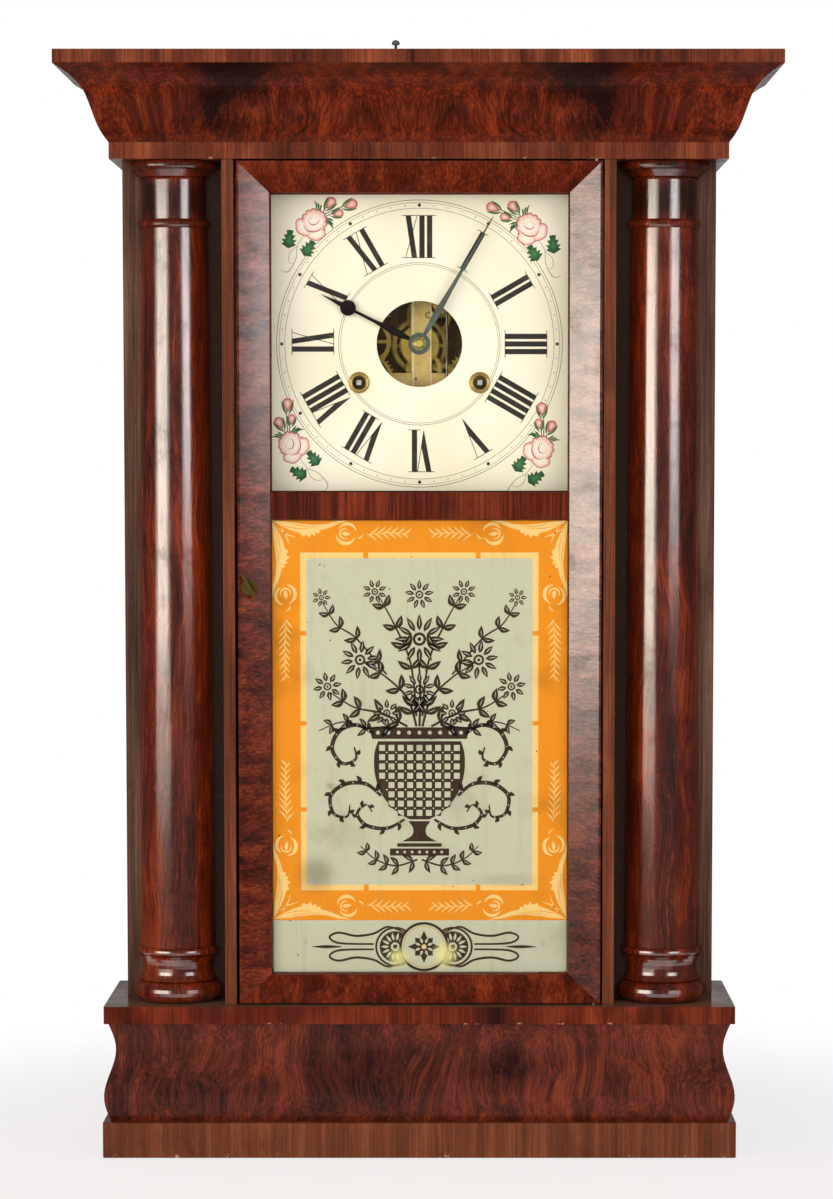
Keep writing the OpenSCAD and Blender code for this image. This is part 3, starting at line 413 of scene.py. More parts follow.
DIAL_Z = 547.6
ARBOR_X = 40.8
ARBOR_Z = DIAL_Z - 26
BRASS = metal("aged brass", (rgb(86, 68, 34), rgb(150, 124, 70), rgb(206, 184, 124)), (0.22, 0.42), 1.0)
WHEEL_BRASS = metal("wheel brass", (rgb(150, 118, 34), rgb(222, 192, 86), rgb(246, 226, 140)),
                    (0.3, 0.5), 1.5, metallic=0.35)
GROMMET_BRASS = metal("grommet brass", (rgb(120, 88, 30), rgb(206, 174, 96), rgb(240, 216, 140)),
                      (0.25, 0.4), 1.7, metallic=0.6, turned=(ARBOR_X, ARBOR_Z))
COLLET_BRASS = metal("collet brass", (rgb(92, 84, 50), rgb(190, 176, 112), rgb(238, 226, 168)),
                     (0.2, 0.35), 1.9, metallic=0.7, turned=(0, DIAL_Z))
# The front plate's brass has painted highlights along the edges of its upright strap.
PLATE_BRASS = metal("plate brass", (rgb(186, 152, 76), rgb(240, 210, 126), rgb(255, 240, 176)),
                    (0.3, 0.5), 2.0, metallic=0.3, strap=(1.7, 6.5),
                    rings=[(6.0, DIAL_Z + 20.25, 1.9), (-2.5, DIAL_Z - 23, 0.4)])
STEEL = metal("steel", (rgb(96, 94, 92), rgb(150, 148, 146), rgb(196, 196, 196)), (0.25, 0.45), 3.0)
BLUED = metal("blued steel", (rgb(34, 28, 30), rgb(58, 48, 50), rgb(84, 76, 80)), (0.35, 0.55), 4.0)
HAND_STEEL = metal("hand steel", (rgb(66, 76, 70), rgb(98, 110, 102), rgb(142, 156, 146)), (0.3, 0.5), 4.6,
                   metallic=0.5)
IRON = metal("cast iron", (rgb(30, 27, 25), rgb(52, 48, 45), rgb(84, 76, 68)),
             (0.5, 0.75), 5.0, 0.8, 0.7, 0.4)


def drum_brass():
    """Brass drum on a steel arbor whose square end is bright."""
    g = material("drum brass")
    x, y, z = g.split()
    off = g.far(g.minus(g.calc("ABSOLUTE", x), ARBOR_X * MM), g.minus(z, ARBOR_Z * MM))
    arbor = g.span(off, 2.5 * MM, 2.7 * MM, 1.0, 0.0)
    cloud = g.grit(300, 4.0, 0.6)
    brass = g.ramp(cloud, [(0.3, rgb(150, 118, 50)), (0.7, rgb(222, 192, 110))])
    steel = g.ramp(cloud, [(0.3, rgb(176, 178, 180)), (0.7, rgb(236, 236, 238))])
    gloss = g.span(cloud, 0.3, 0.7, 0.5, 0.3)
    return g.surface(g.mix(arbor, brass, steel), gloss, g.bump(cloud, 0.1, 0.2 * MM), Metallic=0.5)


METALS = {
    BRASS: ["door_catch", "pendulum_bob"],
    GROMMET_BRASS: ["dial_grommets"],
    COLLET_BRASS: ["hand_collet"],
    WHEEL_BRASS: ["hour_wheel", "motion_wheel", "time_great_wheel", "second_wheel", "third_wheel",
                  "escape_wheel", "strike_great_wheel", "pin_wheel", "strike_fly", "centre_arbor"],
    drum_brass(): ["time_drum", "strike_drum"],
    PLATE_BRASS: ["front_plate", "back_plate"],
    STEEL: ["hinge_pins", "verge", "pendulum_rod", "hammer", "pulley_brackets"],
    BLUED: ["hour_hand", "gong_coil"],
    HAND_STEEL: ["minute_hand"],
    IRON: ["gong_stand", "time_weight", "strike_weight"],
}
for made, names in METALS.items():
    paint_nodes(names, made)


def cord_stuff():
    g = material("cotton cord")
    x, y, z = g.split()
    turn = g.calc("SINE", g.times(g.plus(g.plus(x, y), g.times(z, 1.4)), 5200))
    fuzz = g.grit(900, 3.0)
    tone = g.calc("MULTIPLY_ADD", turn, 0.25, fuzz)
    colour = g.ramp(tone, [(0.1, rgb(104, 84, 56)), (0.5, rgb(160, 136, 98)), (0.9, rgb(202, 182, 142))])
    return g.surface(colour, 0.85, g.bump(tone, 0.4, 0.3 * MM))


CORD = cord_stuff()
paint_nodes(["cord_runs"], CORD)


def weight_cord(name, node):
    """Three twisted strands from a pulley down to a weight."""
    low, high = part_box(node)
    x, y = (low.x + high.x) / 2, (low.y + high.y) / 2
    radius = (high.x - low.x) / 2
    length = high.z - low.z
    lay = 7 * MM
    sides = 15
    rows = int(length / lay * 10)
    points = []
    for row in range(rows + 1):
        z = low.z + length * row / rows
        turned = math.tau * (z - low.z) / lay
        for i in range(sides):
            angle = i * math.tau / sides
            reach = radius * (0.72 + 0.28 * abs(math.cos(1.5 * (angle - turned))))
            points.append((x + reach * math.cos(angle), y + reach * math.sin(angle), z))
    piece = mesh_piece(name, points, tube(sides, rows), CORD)
    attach(piece, "case")
    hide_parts(node)
    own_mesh(piece)


weight_cord("time_cord_strands", "time_cord_fall")
weight_cord("strike_cord_strands", "strike_cord_fall")


def glass(name, tint):
    """A thin pane: clear, with a mirror on it that grows towards the edge of sight."""
    index = 1.45
    g = material(name)
    ripple = g.bump(g.grit(16, 2.0), 0.02, 1 * MM)
    shine = g.add("BsdfPrincipled", {"Base Color": (1, 1, 1, 1), "Metallic": 1.0, "Roughness": 0.03,
                                     "Normal": ripple})
    clear = g.add("BsdfTransparent", {0: tint})
    leaving = g.add("NewGeometry").outputs["Backfacing"]
    edge = g.add("Fresnel", {0: g.calc("MULTIPLY_ADD", leaving, 1 / index - index, index)}).outputs[0]
    return g.show(g.add("MixShader", {0: edge, 1: clear.outputs[0], 2: shine.outputs[0]}).outputs[0])


paint_nodes(["dial_glass", "tablet_glass"], glass("old glass", (0.99, 0.99, 0.98, 1)))


# Dial


def dial_paint():
    g = material("dial paint")
    x, y, z = g.split()
    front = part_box("dial_board")[0].y
    cloud = g.grit(16, 4.0)
    speck = g.grit(420, 4.0)
    cream = g.ramp(cloud, [(0.3, rgb(247, 239, 211)), (0.7, rgb(252, 246, 226))])
    cream = g.mix(g.span(speck, 0.66, 0.8, 0, 0.35), cream, rgb(206, 188, 140))
    bare = g.ramp(g.noise(g.place((60, 60, 8)), 5.0), [(0.2, rgb(120, 84, 50)), (0.8, rgb(176, 136, 90))])
    colour = g.mix(g.span(y, front + 0.2 * MM, front + 0.4 * MM), cream, bare)
    normal = g.bump(g.plus(cloud, g.times(speck, 0.3)), 0.08, 0.5 * MM)
    return g.surface(colour, g.span(cloud, 0.3, 0.7, 0.35, 0.5), normal)


paint_nodes(["dial_board"], dial_paint())


# Painted and printed ornament


def curve(points, steps=6, closed=False):
    """A smooth line through points, each a tuple of any length."""
    count = len(points)
    last = count if closed else count - 1
    line = []
    for i in range(last):
        around = [points[(i + k) % count] if closed else points[min(max(i + k, 0), count - 1)]
                  for k in (-1, 0, 1, 2)]
        for step in range(steps):
            t = step / steps
            line.append(tuple(0.5 * (2 * b + (c - a) * t + (2 * a - 5 * b + 4 * c - d) * t * t
                                     + (3 * b - a - 3 * c + d) * t ** 3) for a, b, c, d in zip(*around)))
    if not closed:
        line.append(tuple(points[-1]))
    return line


def block(x0, z0, x1, z1):
    return [(x0, z0), (x1, z0), (x1, z1), (x0, z1)]


def ring_points(x, z, radius, count, start=0.0):
    return [(x + radius * math.cos(start + i * math.tau / count),
             z + radius * math.sin(start + i * math.tau / count)) for i in range(count)]


def moved(points, at=(0, 0), turn=0.0, size=1.0, flip=False):
    """Points turned by degrees, scaled, mirrored if asked, and put at a place."""
    c = math.cos(math.radians(turn)) * size
    s = math.sin(math.radians(turn)) * size
    out = []
    for point in points:
        x, z = (-point[0] if flip else point[0]), point[1]
        out.append((at[0] + c * x - s * z, at[1] + s * x + c * z, *point[2:]))
    return out


class Paintwork:
    """Thin closed shapes of paint on a flat face that looks towards -Y, sunk a little into it.
    Sizes are in mm. A lift is how far the front of a shape stands off the face."""

    def __init__(self, name, origin, face, sunk=0.03):
        self.name = name
        self.sunk = sunk
        self.origin = origin
        self.face = face
        self.points = []
        self.faces = []
        self.colours = []

    def corner(self, x, z, lift, colour):
        self.points.append(((self.origin[0] + x) * MM, (self.face - lift) * MM, (self.origin[1] + z) * MM))
        self.colours.append(colour)
        return len(self.points) - 1

    def wall(self, front, back):
        for i, start in enumerate(front):
            after = (i + 1) % len(front)
            self.faces.append((start, back[i], back[after], front[after]))

    def plate(self, outline, colour, lift, holes=()):
        """A flat shape with an outline and holes."""
        loops = [list(loop) for loop in (outline, *holes)]
        corners = [[Vector((p[0], p[1], 0)) for p in loop] for loop in loops]
        front = [[self.corner(p[0], p[1], lift, colour) for p in loop] for loop in loops]
        back = [[self.corner(p[0], p[1], -self.sunk, colour) for p in loop] for loop in loops]
        flat_front = [i for loop in front for i in loop]
        flat_back = [i for loop in back for i in loop]
        for a, b, c in tessellate_polygon(corners):
            self.faces.append((flat_front[a], flat_front[b], flat_front[c]))
            self.faces.append((flat_back[c], flat_back[b], flat_back[a]))
        for near, far in zip(front, back):
            self.wall(near, far)

    def ring(self, x, z, outer, inner, count, colour, lift):
        self.plate(ring_points(x, z, outer, count), colour, lift, [ring_points(x, z, inner, count)[::-1]])

    def dab(self, outline, stops, lift, heart=None):
        """A low dome whose colour changes from its heart to its edge. stops are share and colour."""
        if heart is None:
            heart = [sum(p[k] for p in outline) / len(outline) for k in (0, 1)]
        rings = []
        for share, colour in stops:
            height = lift * (1 - 0.6 * share ** 3)
            rings.append([self.corner(heart[0] + (p[0] - heart[0]) * share,
                                      heart[1] + (p[1] - heart[1]) * share, height, colour) for p in outline])
        count = len(outline)
        middle = self.corner(heart[0], heart[1], lift, stops[0][1])
        for i in range(count):
            self.faces.append((middle, rings[0][i], rings[0][(i + 1) % count]))
        for inner, outer in zip(rings, rings[1:]):
            for i in range(count):
                k = (i + 1) % count
                self.faces.append((inner[i], outer[i], outer[k], inner[k]))
        back = [self.corner(p[0], p[1], -self.sunk, stops[-1][1]) for p in outline]
        self.wall(rings[-1], back)
        under = self.corner(heart[0], heart[1], -self.sunk, stops[-1][1])
        for i in range(count):
            self.faces.append((under, back[(i + 1) % count], back[i]))

    def stroke(self, line, colour, lift, steps=6):
        """A brush stroke along points of x, z and half width."""
        line = curve(line, steps)
        sides = []
        for i, (x, z, half) in enumerate(line):
            before, after = line[max(i - 1, 0)], line[min(i + 1, len(line) - 1)]
            dx, dz = after[0] - before[0], after[1] - before[1]
            length = math.hypot(dx, dz) or 1.0
            nx, nz = -dz / length * max(half, 0.02), dx / length * max(half, 0.02)
            sides.append([self.corner(x + side * nx, z + side * nz, depth, colour)
                          for depth in (lift, -self.sunk) for side in (1, -1)])
        for a, b in zip(sides, sides[1:]):
            self.faces += [(a[0], a[1], b[1], b[0]), (a[2], b[2], b[3], a[3]),
                           (a[0], b[0], b[2], a[2]), (a[1], a[3], b[3], b[1])]
        first, last = sides[0], sides[-1]
        self.faces += [(first[0], first[2], first[3], first[1]), (last[0], last[1], last[3], last[2])]

    def build(self, body, made):
        piece = mesh_piece(self.name, self.points, self.faces, made)
        mesh = piece.data
        shape = bmesh.new()
        shape.from_mesh(mesh)
        bmesh.ops.recalc_face_normals(shape, faces=shape.faces)
        shape.to_mesh(mesh)
        shape.free()
        layer = mesh.color_attributes.new("paint", "FLOAT_COLOR", "POINT")
        layer.data.foreach_set("color", [v for colour in self.colours for v in colour])
        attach(piece, body)


def ornament_paint(name, fade):
    """Paint that takes its colour from the shapes, with brush marks, thin spots and fine cracks."""
    g = material(name)
    own = g.add("VertexColor", layer_name="paint").outputs["Color"]
    cloud = g.grit(120, 4.0, 0.6)
    speck = g.grit(1500, 3.0, 0.6)
    pale = g.mix(0.35, own, rgb(222, 214, 186))
    colour = g.mix(g.span(cloud, 0.5, 0.8, 0, fade), own, pale)
    colour = g.mix(g.span(speck, 0.58, 0.75, 0, fade), colour, pale)
    height = g.plus(g.times(speck, 0.6), cloud)
    return g.surface(colour, g.span(cloud, 0.3, 0.7, 0.4, 0.52), g.bump(height, 0.12, 0.1 * MM))


INK = rgb(46, 42, 32)
HAIRLINE = rgb(112, 102, 74)
NUMERAL_IN = 57.8
NUMERAL_OUT = 86.0
STROKE = 1.78
HAIR = 0.24
LETTER_SIDES = {"I": (1.9, 1.9), "V": (5.3, 4.6), "X": (4.2, 4.2)}


def dial_point(angle, across, out):
    """A place on the dial from an hour angle, mm clockwise of its line, and mm from the centre."""
    s, c = math.sin(math.radians(angle)), math.cos(math.radians(angle))
    return (out * s + across * c, out * c - across * s)


def numeral(work, hour, letters):
    """letters are pairs of a letter and its offset along the numeral, in mm."""
    angle = 30 * hour

    def at(across, share):
        return dial_point(angle, across, NUMERAL_IN + (NUMERAL_OUT - NUMERAL_IN) * share)

    def bar(low, high, half, share_low=0.0, share_high=1.0):
        work.plate([at(low - half, share_low), at(low + half, share_low), at(high + half, share_high),
                    at(high - half, share_high)], INK, 0.1)

    left = min(shift - LETTER_SIDES[letter][0] for letter, shift in letters)
    right = max(shift + LETTER_SIDES[letter][1] for letter, shift in letters)
    for letter, shift in letters:
        if letter == "I":
            bar(shift, shift, STROKE)
        if letter == "X":
            bar(shift + 2.1, shift - 2.1, STROKE)
            bar(shift - 3.9, shift + 3.9, HAIR)
        if letter == "V":
            thick = [(shift - 5.2, 1), (shift, 0), (shift + 1.75, 0.4), (shift - 1.7, 1)]
            work.plate([at(*corner) for corner in thick], INK, 0.1)
            bar(shift, shift + 4.2, HAIR, 0.02)
    feet_left, feet_right = left, right
    if letters[0][0] == "V":
        feet_left = letters[1][1] - LETTER_SIDES["I"][0] if len(letters) > 1 else 0
    for share, low, high in ((1.0, left, right), (0.0, feet_left, feet_right)):
        if high - low > 3.5 and not (share == 0 and letters == [("V", 0)]):
            serif = block(low - 2.2, share - 0.008, high + 2.2, share + 0.008)
            work.plate([at(*corner) for corner in serif], INK, 0.09)


NUMERALS = {1: [("I", 0)], 2: [("I", -2.55), ("I", 2.55)], 3: [("I", -5.1), ("I", 0), ("I", 5.1)],
            4: [("I", -7.7), ("I", -2.6), ("I", 2.6), ("I", 7.7)],
            5: [("V", 0)], 6: [("V", -2.9), ("I", 3.4)],
            7: [("V", -4.4), ("I", 2.3), ("I", 7.5)], 8: [("V", -7.8), ("I", -2.2), ("I", 3.1), ("I", 8.4)],
            9: [("I", -3.4), ("X", 3.9)], 10: [("X", 0)], 11: [("X", -3.3), ("I", 4.6)],
            12: [("X", -5.4), ("I", 1.75), ("I", 6.9)]}


def dial_print():
    low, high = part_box("dial_board")
    work = Paintwork("dial_print", (0, DIAL_Z), low.y / MM)
    for hour, letters in NUMERALS.items():
        numeral(work, hour, letters)
    for radius, half in ((96.4, 0.19), (94.7, 0.12), (90.9, 0.15), (54.5, 0.17), (53.2, 0.14)):
        inner = ring_points(0, 0, radius - half, 144)
        work.plate(ring_points(0, 0, radius + half, 144), HAIRLINE, 0.06, [inner])
    for minute in range(60):
        x, z = dial_point(6 * minute, 0, 93.0)
        radius, colour = (1.15, INK) if minute % 5 == 0 else (0.4, HAIRLINE)
        work.plate(ring_points(x, z, radius, 14), colour, 0.07)
    work.build("case", ornament_paint("printed ink", 0.16))


PETAL = [(0.0, rgb(254, 246, 230)), (0.6, rgb(252, 234, 218)), (0.84, rgb(244, 192, 178)),
         (0.94, rgb(208, 110, 102)), (1.0, rgb(156, 60, 58))]
BUD = [(0.0, rgb(250, 226, 208)), (0.5, rgb(238, 178, 162)), (0.86, rgb(206, 104, 98)),
       (1.0, rgb(156, 58, 56))]
LEAF = rgb(24, 104, 52)
LEAF_DAB = [(0.0, rgb(64, 150, 84)), (0.6, LEAF), (1.0, rgb(18, 84, 40))]
SEPAL = rgb(70, 112, 66)
TENDRIL = rgb(150, 148, 124)


def lobes(x, z, wide, high, count, depth, turn):
    """A scalloped oval."""
    line = []
    steps = count * 8
    for i in range(steps):
        a = i * math.tau / steps
        swell = 1 + depth * abs(math.sin(a * count / 2))
        line.append((wide * swell * math.cos(a), high * swell * math.sin(a)))
    return moved(line, (x, z), turn)


def saw_leaf(length, width, teeth):
    """Outline of a serrated leaf that points along +Z from its stalk."""
    right = []
    for i in range(teeth):
        share = (i + 0.5) / teeth
        half = width / 2 * (1 - share) ** 0.5 * min(1, 0.6 + 2.0 * share)
        right.append((half, length * share + length * 0.1))
        right.append((half * 0.45, length * (i + 1) / teeth - length * 0.02))
    left = [(-x, z) for x, z in reversed(right)]
    return [(0, 0), *right, (0, length), *left]


def spray(work, at, turn, flip, size=1.0):
    """A rose with three buds, two leaves and tendrils. Unturned, its buds point to the right."""

    def put(points):
        return moved(moved(points, flip=flip), at, turn, size)

    def line(points, colour, lift):
        work.stroke(put(points), colour, lift)

    line([(-8, -6, 0.12), (-14, -12, 0.2), (-17, -20, 0.22), (-24, -27, 0.3), (-29, -25, 0.1)], TENDRIL, 0.06)
    line([(-14, -12, 0.15), (-20, -15, 0.2), (-22, -21, 0.15), (-19, -23, 0.1)], TENDRIL, 0.06)
    for x, z, radius, foot_x, foot_z in ((15.6, 11.2, 3.2, 7.5, 5), (29.0, 6.3, 3.4, 8.5, 4),
                                         (19.0, 2.4, 2.7, 8.5, 2.5)):
        middle = ((x + foot_x) / 2, (z + foot_z) / 2 + 0.8, 0.3)
        line([(foot_x, foot_z, 0.35), middle, (x, z, 0.2)], SEPAL, 0.09)
        turned = math.degrees(math.atan2(z - foot_z, x - foot_x))
        cup = curve([(-radius * 1.8, 0), (-radius * 0.6, radius * 0.75), (radius * 0.5, radius * 0.9),
                     (radius, 0), (radius * 0.5, -radius * 0.9), (-radius * 0.6, -radius * 0.75)], 4, True)
        work.dab(put(moved(cup, (x, z), turned)), BUD, 0.12)
        for side in (1, -1):
            sepal = [(-radius * 2.4, side * 0.4, 0.15), (-radius * 1.3, side * radius * 0.75, 0.75),
                     (-radius * 0.2, side * radius * 1.05, 0.55), (radius * 0.5, side * radius * 1.1, 0.1)]
            line(moved(sepal, (x, z), turned), SEPAL, 0.15)
    for k in range(3):
        line([(8.0, 1.5 - k, 0.15), (11.5, 0.2 - 1.9 * k, 0.7), (14.0 - k, -1.5 - 2.6 * k, 0.1)], LEAF, 0.11)
        line([(4.0 + k, 8.0 - k, 0.15), (5.2 + k * 1.2, 11.5 - k, 0.6), (4.5 + k * 2.0, 15.0 - k * 2, 0.1)],
             LEAF, 0.11)
    for lift, *shape in ((0.12, -6.6, -0.6, 5.2, 6.2, 5, 0.10, 20), (0.12, 0.4, -6.4, 6.2, 5.0, 6, 0.10, -10),
                         (0.17, 1.0, 1.2, 8.4, 8.0, 13, 0.12, 12), (0.21, 1.6, 2.6, 5.4, 4.4, 9, 0.12, 30)):
        work.dab(put(lobes(*shape)), PETAL, lift)
    for fold in ([(-6.6, 0.4, 0.1), (-4.8, -3.8, 0.35), (0.6, -5.6, 0.4), (6.0, -3.6, 0.1)],
                 [(-2.6, 2.4, 0.1), (-1.4, -0.2, 0.3), (1.8, -0.8, 0.3), (5.0, 0.8, 0.1)]):
        line(fold, rgb(188, 88, 82), 0.26)
    for k in range(5):
        x, z = put([(-2.5 + 1.7 * k, 4.2 - 0.35 * (k - 1.5) ** 2)])[0]
        work.plate(ring_points(x, z, 0.28, 8), rgb(190, 110, 90), 0.22)
    for x, z, turned, length in ((-20.4, -12.0, -21, 12.6), (-11.4, -19.4, -47, 12.0)):
        leaf = saw_leaf(length, 13.0, 4)
        heart = put(moved([(0, length * 0.45)], (x, z), turned))[0]
        work.dab(put(moved(leaf, (x, z), turned)), LEAF_DAB, 0.1, heart)


def dial_flowers():
    work = Paintwork("dial_flowers", (0, DIAL_Z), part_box("dial_board")[0].y / MM)
    spray(work, (-71.5, 80.6), 14, False)
    spray(work, (74.4, 77.6), -16, True)
    spray(work, (-86.0, -68.5), 84, False, 0.98)
    spray(work, (81.5, -71.5), -80, True, 0.98)
    work.build("case", ornament_paint("flower paint", 0.12))


dial_print()
dial_flowers()


# Painted tablet behind the lower pane

ORANGE = rgb(228, 142, 20)
CREAM = rgb(238, 200, 124)
GREYGREEN = rgb(192, 193, 168)
STENCIL = rgb(62, 44, 30)
# Layers of the tablet's paint: colour and lift
DARK = (STENCIL, 0.12)
PALE = (GREYGREEN, 0.15)
LIGHT = (CREAM, 0.13)
VEIN = (ORANGE, 0.16)
GAP = (ORANGE, 0.12)
DISC = (STENCIL, 0.11)
RAY = (GREYGREEN, 0.13)
ROSETTE = (STENCIL, 0.17)
TABLET_X = 0.35
PANEL = (-76.6, 182.9, 75.9, 403.7)


def leaf_shape(length, width, bend=0.0):
    """Outline of a plain leaf from its stalk at the origin along +X."""
    side = curve([(0, 0), (length * 0.3, width / 2), (length * 0.65, width * 0.42), (length, 0)], 4)
    other = [(x, -z) for x, z in reversed(side[1:-1])]
    return [(x, z + bend * math.sin(math.pi * x / length)) for x, z in side + other]


def petal(length, width, out, at, angle):
    """Outline of a leaf that starts some way out from a centre and is turned about it."""
    return moved(moved(leaf_shape(length, width), (out, 0)), at, angle)


def crescent(work, place, x, z, radius, start, end, half):
    """An arc in degrees that is thickest at its middle."""
    points = []
    for i in range(9):
        share = i / 8
        a = math.radians(start + (end - start) * share)
        width = half * math.sin(math.pi * share) + 0.12
        points.append((x + radius * math.cos(a), z + radius * math.sin(a), width))
    work.stroke(place(points), *LIGHT, 2)


def border_corner(work, place, sprig):
    """A plume, a crescent with its seed and a barbed sprig, in mm along the side and in from the edge."""
    plume = [(0.8, 0.8), (10, 1.6), (20, 2.9), (29, 3.9), (37, 3.3), (45, 1.1), (54, 0.5), (47, 2.6),
             (41, 5.2), (36, 6.8), (33, 7.4), (32.4, 9.8), (30.4, 8.8), (29.6, 11.6), (27.6, 10),
             (25.8, 12.8), (24.2, 10.6), (21, 11.8), (20, 9.6), (15, 8.2), (10, 6), (5, 3.4)]
    work.plate(place(plume), *LIGHT)
    work.stroke(place([(5, 6.6, 0.15), (11, 10.2, 0.45), (17, 12.2, 0.15)]), *LIGHT)
    work.stroke(place([(8, 4.2, 0.1), (17, 6.2, 0.25), (27, 6.2, 0.1)]), *VEIN)
    work.stroke(place([(14, 3.4, 0.1), (24, 4.9, 0.22), (33, 4.8, 0.1)]), *VEIN)
    crescent(work, place, 50.5, 10.0, 6.4, 20, 175, 1.1)
    crescent(work, place, 51.5, 9.4, 6.2, 205, 350, 0.9)
    crescent(work, place, 50.0, 9.8, 3.4, 60, 300, 0.5)
    work.plate(place(moved(leaf_shape(6.4, 2.4), (47.6, 9.6), 6)), *LIGHT)
    work.stroke(place([(58, 13.2, 0.1), (60.5, 12.2, 0.5), (62, 10.2, 0.1)]), *LIGHT)
    first, last = sprig
    barbs = int((last - first) / 4.4)
    work.stroke(place([(first, 10.4, 0.15), ((first + last) / 2, 9.2, 0.3), (last, 9.8, 0.12)]), CREAM, 0.12)
    for i in range(barbs):
        u = first + (last - first) * i / barbs
        reach = 6.4 * (1 - 0.4 * i / barbs)
        middle = 9.9 - 0.7 * math.sin(math.pi * i / barbs)
        for side in (1, -1):
            start = u + (0.0 if side == 1 else 1.8)
            work.stroke(place([(start, middle, 0.1), (start + reach * 0.5, middle + side * reach * 0.3, 0.5),
                               (start + reach, middle + side * reach * 0.78, 0.08)]), *LIGHT)


def border(work, x0, z0, x1, z1):
    """The orange border, its cream line with small breaks, and the ornament of its corners."""
    left, low, right, high = PANEL
    line, grow = 3.9, 2.4
    inner = block(left - line, low - line, right + line, high + line)
    work.plate(block(x0 - grow, z0, x1 + grow, z1 + grow), ORANGE, 0.08, [inner[::-1]])
    work.plate(inner, CREAM, 0.1, [block(left, low, right, high)[::-1]])
    for x in (-36.4, 39.2):
        for z in (low - line, high):
            work.plate(block(x - 1.6, z, x + 1.6, z + line), *GAP)
    for z in (353.2, 292.4, 234.0):
        for x in (left - line, right):
            work.plate(block(x, z - 1.5, x + line, z + 1.5), *GAP)
    for side_x, corner_x in ((1, x0), (-1, x1)):
        for side_z, corner_z in ((1, z0), (-1, z1)):
            for along, sprig in ((0, (65, 93)), (1, (67, 108))):
                border_corner(work, lambda points: [(corner_x + side_x * p[along],
                                                     corner_z + side_z * p[1 - along], *p[2:])
                                                    for p in points], sprig)


def star_flower(work, x, z, radius, petals, turn=0.0):
    """An open flower of separate petals about a ringed eye."""
    for i in range(petals):
        angle = turn + i * 360 / petals
        leaf = petal(radius * 0.66, radius * 2.5 / petals, radius * 0.34, (x, z), angle)
        work.plate(leaf, *DARK)
        vein = [(radius * 0.5, 0, 0.08), (radius * 0.68, 0, 0.28), (radius * 0.86, 0, 0.08)]
        work.stroke(moved(vein, (x, z), angle), *PALE)
    work.ring(x, z, radius * 0.27, radius * 0.16, 20, *DARK)
    work.plate(ring_points(x, z, radius * 0.08, 10), *DARK)


def heading(line, k):
    """A point of a line and the direction of the line there, in degrees."""
    (ax, az), (bx, bz) = line[k][:2], line[k + 1][:2]
    return (ax, az), math.degrees(math.atan2(bz - az, bx - ax))


def leafy_stem(work, points, leaves, size):
    """A stem with pairs of leaves, mirrored to both sides of the panel."""
    line = curve(points, 8)
    for flip in (False, True):
        work.stroke(moved(line, flip=flip), *DARK, 1)
        for i in range(leaves):
            at, ahead = heading(line, int((i + 0.7) / (leaves + 0.4) * (len(line) - 2)))
            for side in (1, -1):
                turn = ahead + side * 48
                leaf = moved(leaf_shape(size * (1 - 0.3 * i / leaves), size * 0.36, side * 0.6), at, turn)
                work.plate(moved(leaf, flip=flip), *DARK)
                vein = [(size * 0.22, 0, 0.06), (size * 0.42, side * 0.4, 0.2),
                        (size * 0.6, side * 0.4, 0.06)]
                work.stroke(moved(moved(vein, at, turn), flip=flip), *PALE)


def scroll(work, points, barbs, reach, side=1):
    """A tapering scroll with short leaves along one side and a dotted spine, mirrored to both sides."""
    line = curve(points, 8)
    for flip in (False, True):
        work.stroke(moved(line, flip=flip), *DARK, 1)
        for i in range(barbs):
            at, ahead = heading(line, int((i + 0.5) / barbs * (len(line) - 2)))
            leaf = leaf_shape(reach * (1 - 0.4 * i / barbs), reach * 0.42, side * 0.5)
            leaf = moved(leaf, at, ahead + side * 50)
            work.plate(moved(leaf, flip=flip), *DARK)
        for k in range(3, len(line) - 6, 5):
            dot = ring_points(line[k][0], line[k][1], 0.45, 8)
            work.plate(moved(dot, flip=flip), *PALE)


def both_sides(side):
    """A closed outline from its right side."""
    return side + [(-x, z) for x, z in reversed(side)]


def urn(work):
    side = curve([(6.5, -66), (15, -61), (25, -50), (30, -36), (30.5, -22), (28, -13)], 5)
    holes = []
    pitch = 6.3
    for row in range(8):
        z = -17.5 - row * pitch
        for column in range(-4, 5):
            x = column * pitch
            if z > -62 and abs(x) + 3.2 < 30.5 - 0.011 * max(0, -30 - z) ** 2 - 0.5:
                holes.append(block(x - 2, z - 2, x + 2, z + 2)[::-1])
    work.plate(both_sides(side), *DARK, holes)
    for row in range(7):
        for column in range(-4, 4):
            x, z = (column + 0.5) * pitch, -17.5 - (row + 0.5) * pitch
            if abs(x) + 2 < 29 - 0.012 * max(0, -30 - z) ** 2:
                work.plate(ring_points(x, z, 0.6, 8), *PALE)
    rim_holes = [ring_points(x, -7.2, 1.5, 5, 0.3)[::-1] for x in range(-28, 29, 7)]
    work.plate([(-32, -11.4), (32, -11.4), (34, -3.6), (-34, -3.6)], *DARK, rim_holes)
    foot = curve([(7.5, -67.2), (4.4, -72), (5.2, -77), (12, -81)], 4)
    work.plate(both_sides(foot), *DARK)
    work.plate(block(-15, -84.6, 15, -82.2), *DARK)
    foot_holes = [ring_points(x, -88.2, 1.0, 8)[::-1] for x in range(-15, 16, 5)]
    work.plate(block(-20, -90.6, 20, -85.8), *DARK, foot_holes)
    leafy_stem(work, [(1.5, -93.4, 0.6), (16, -97.5, 0.6), (30, -93, 0.5), (40, -84, 0.3)], 5, 9)


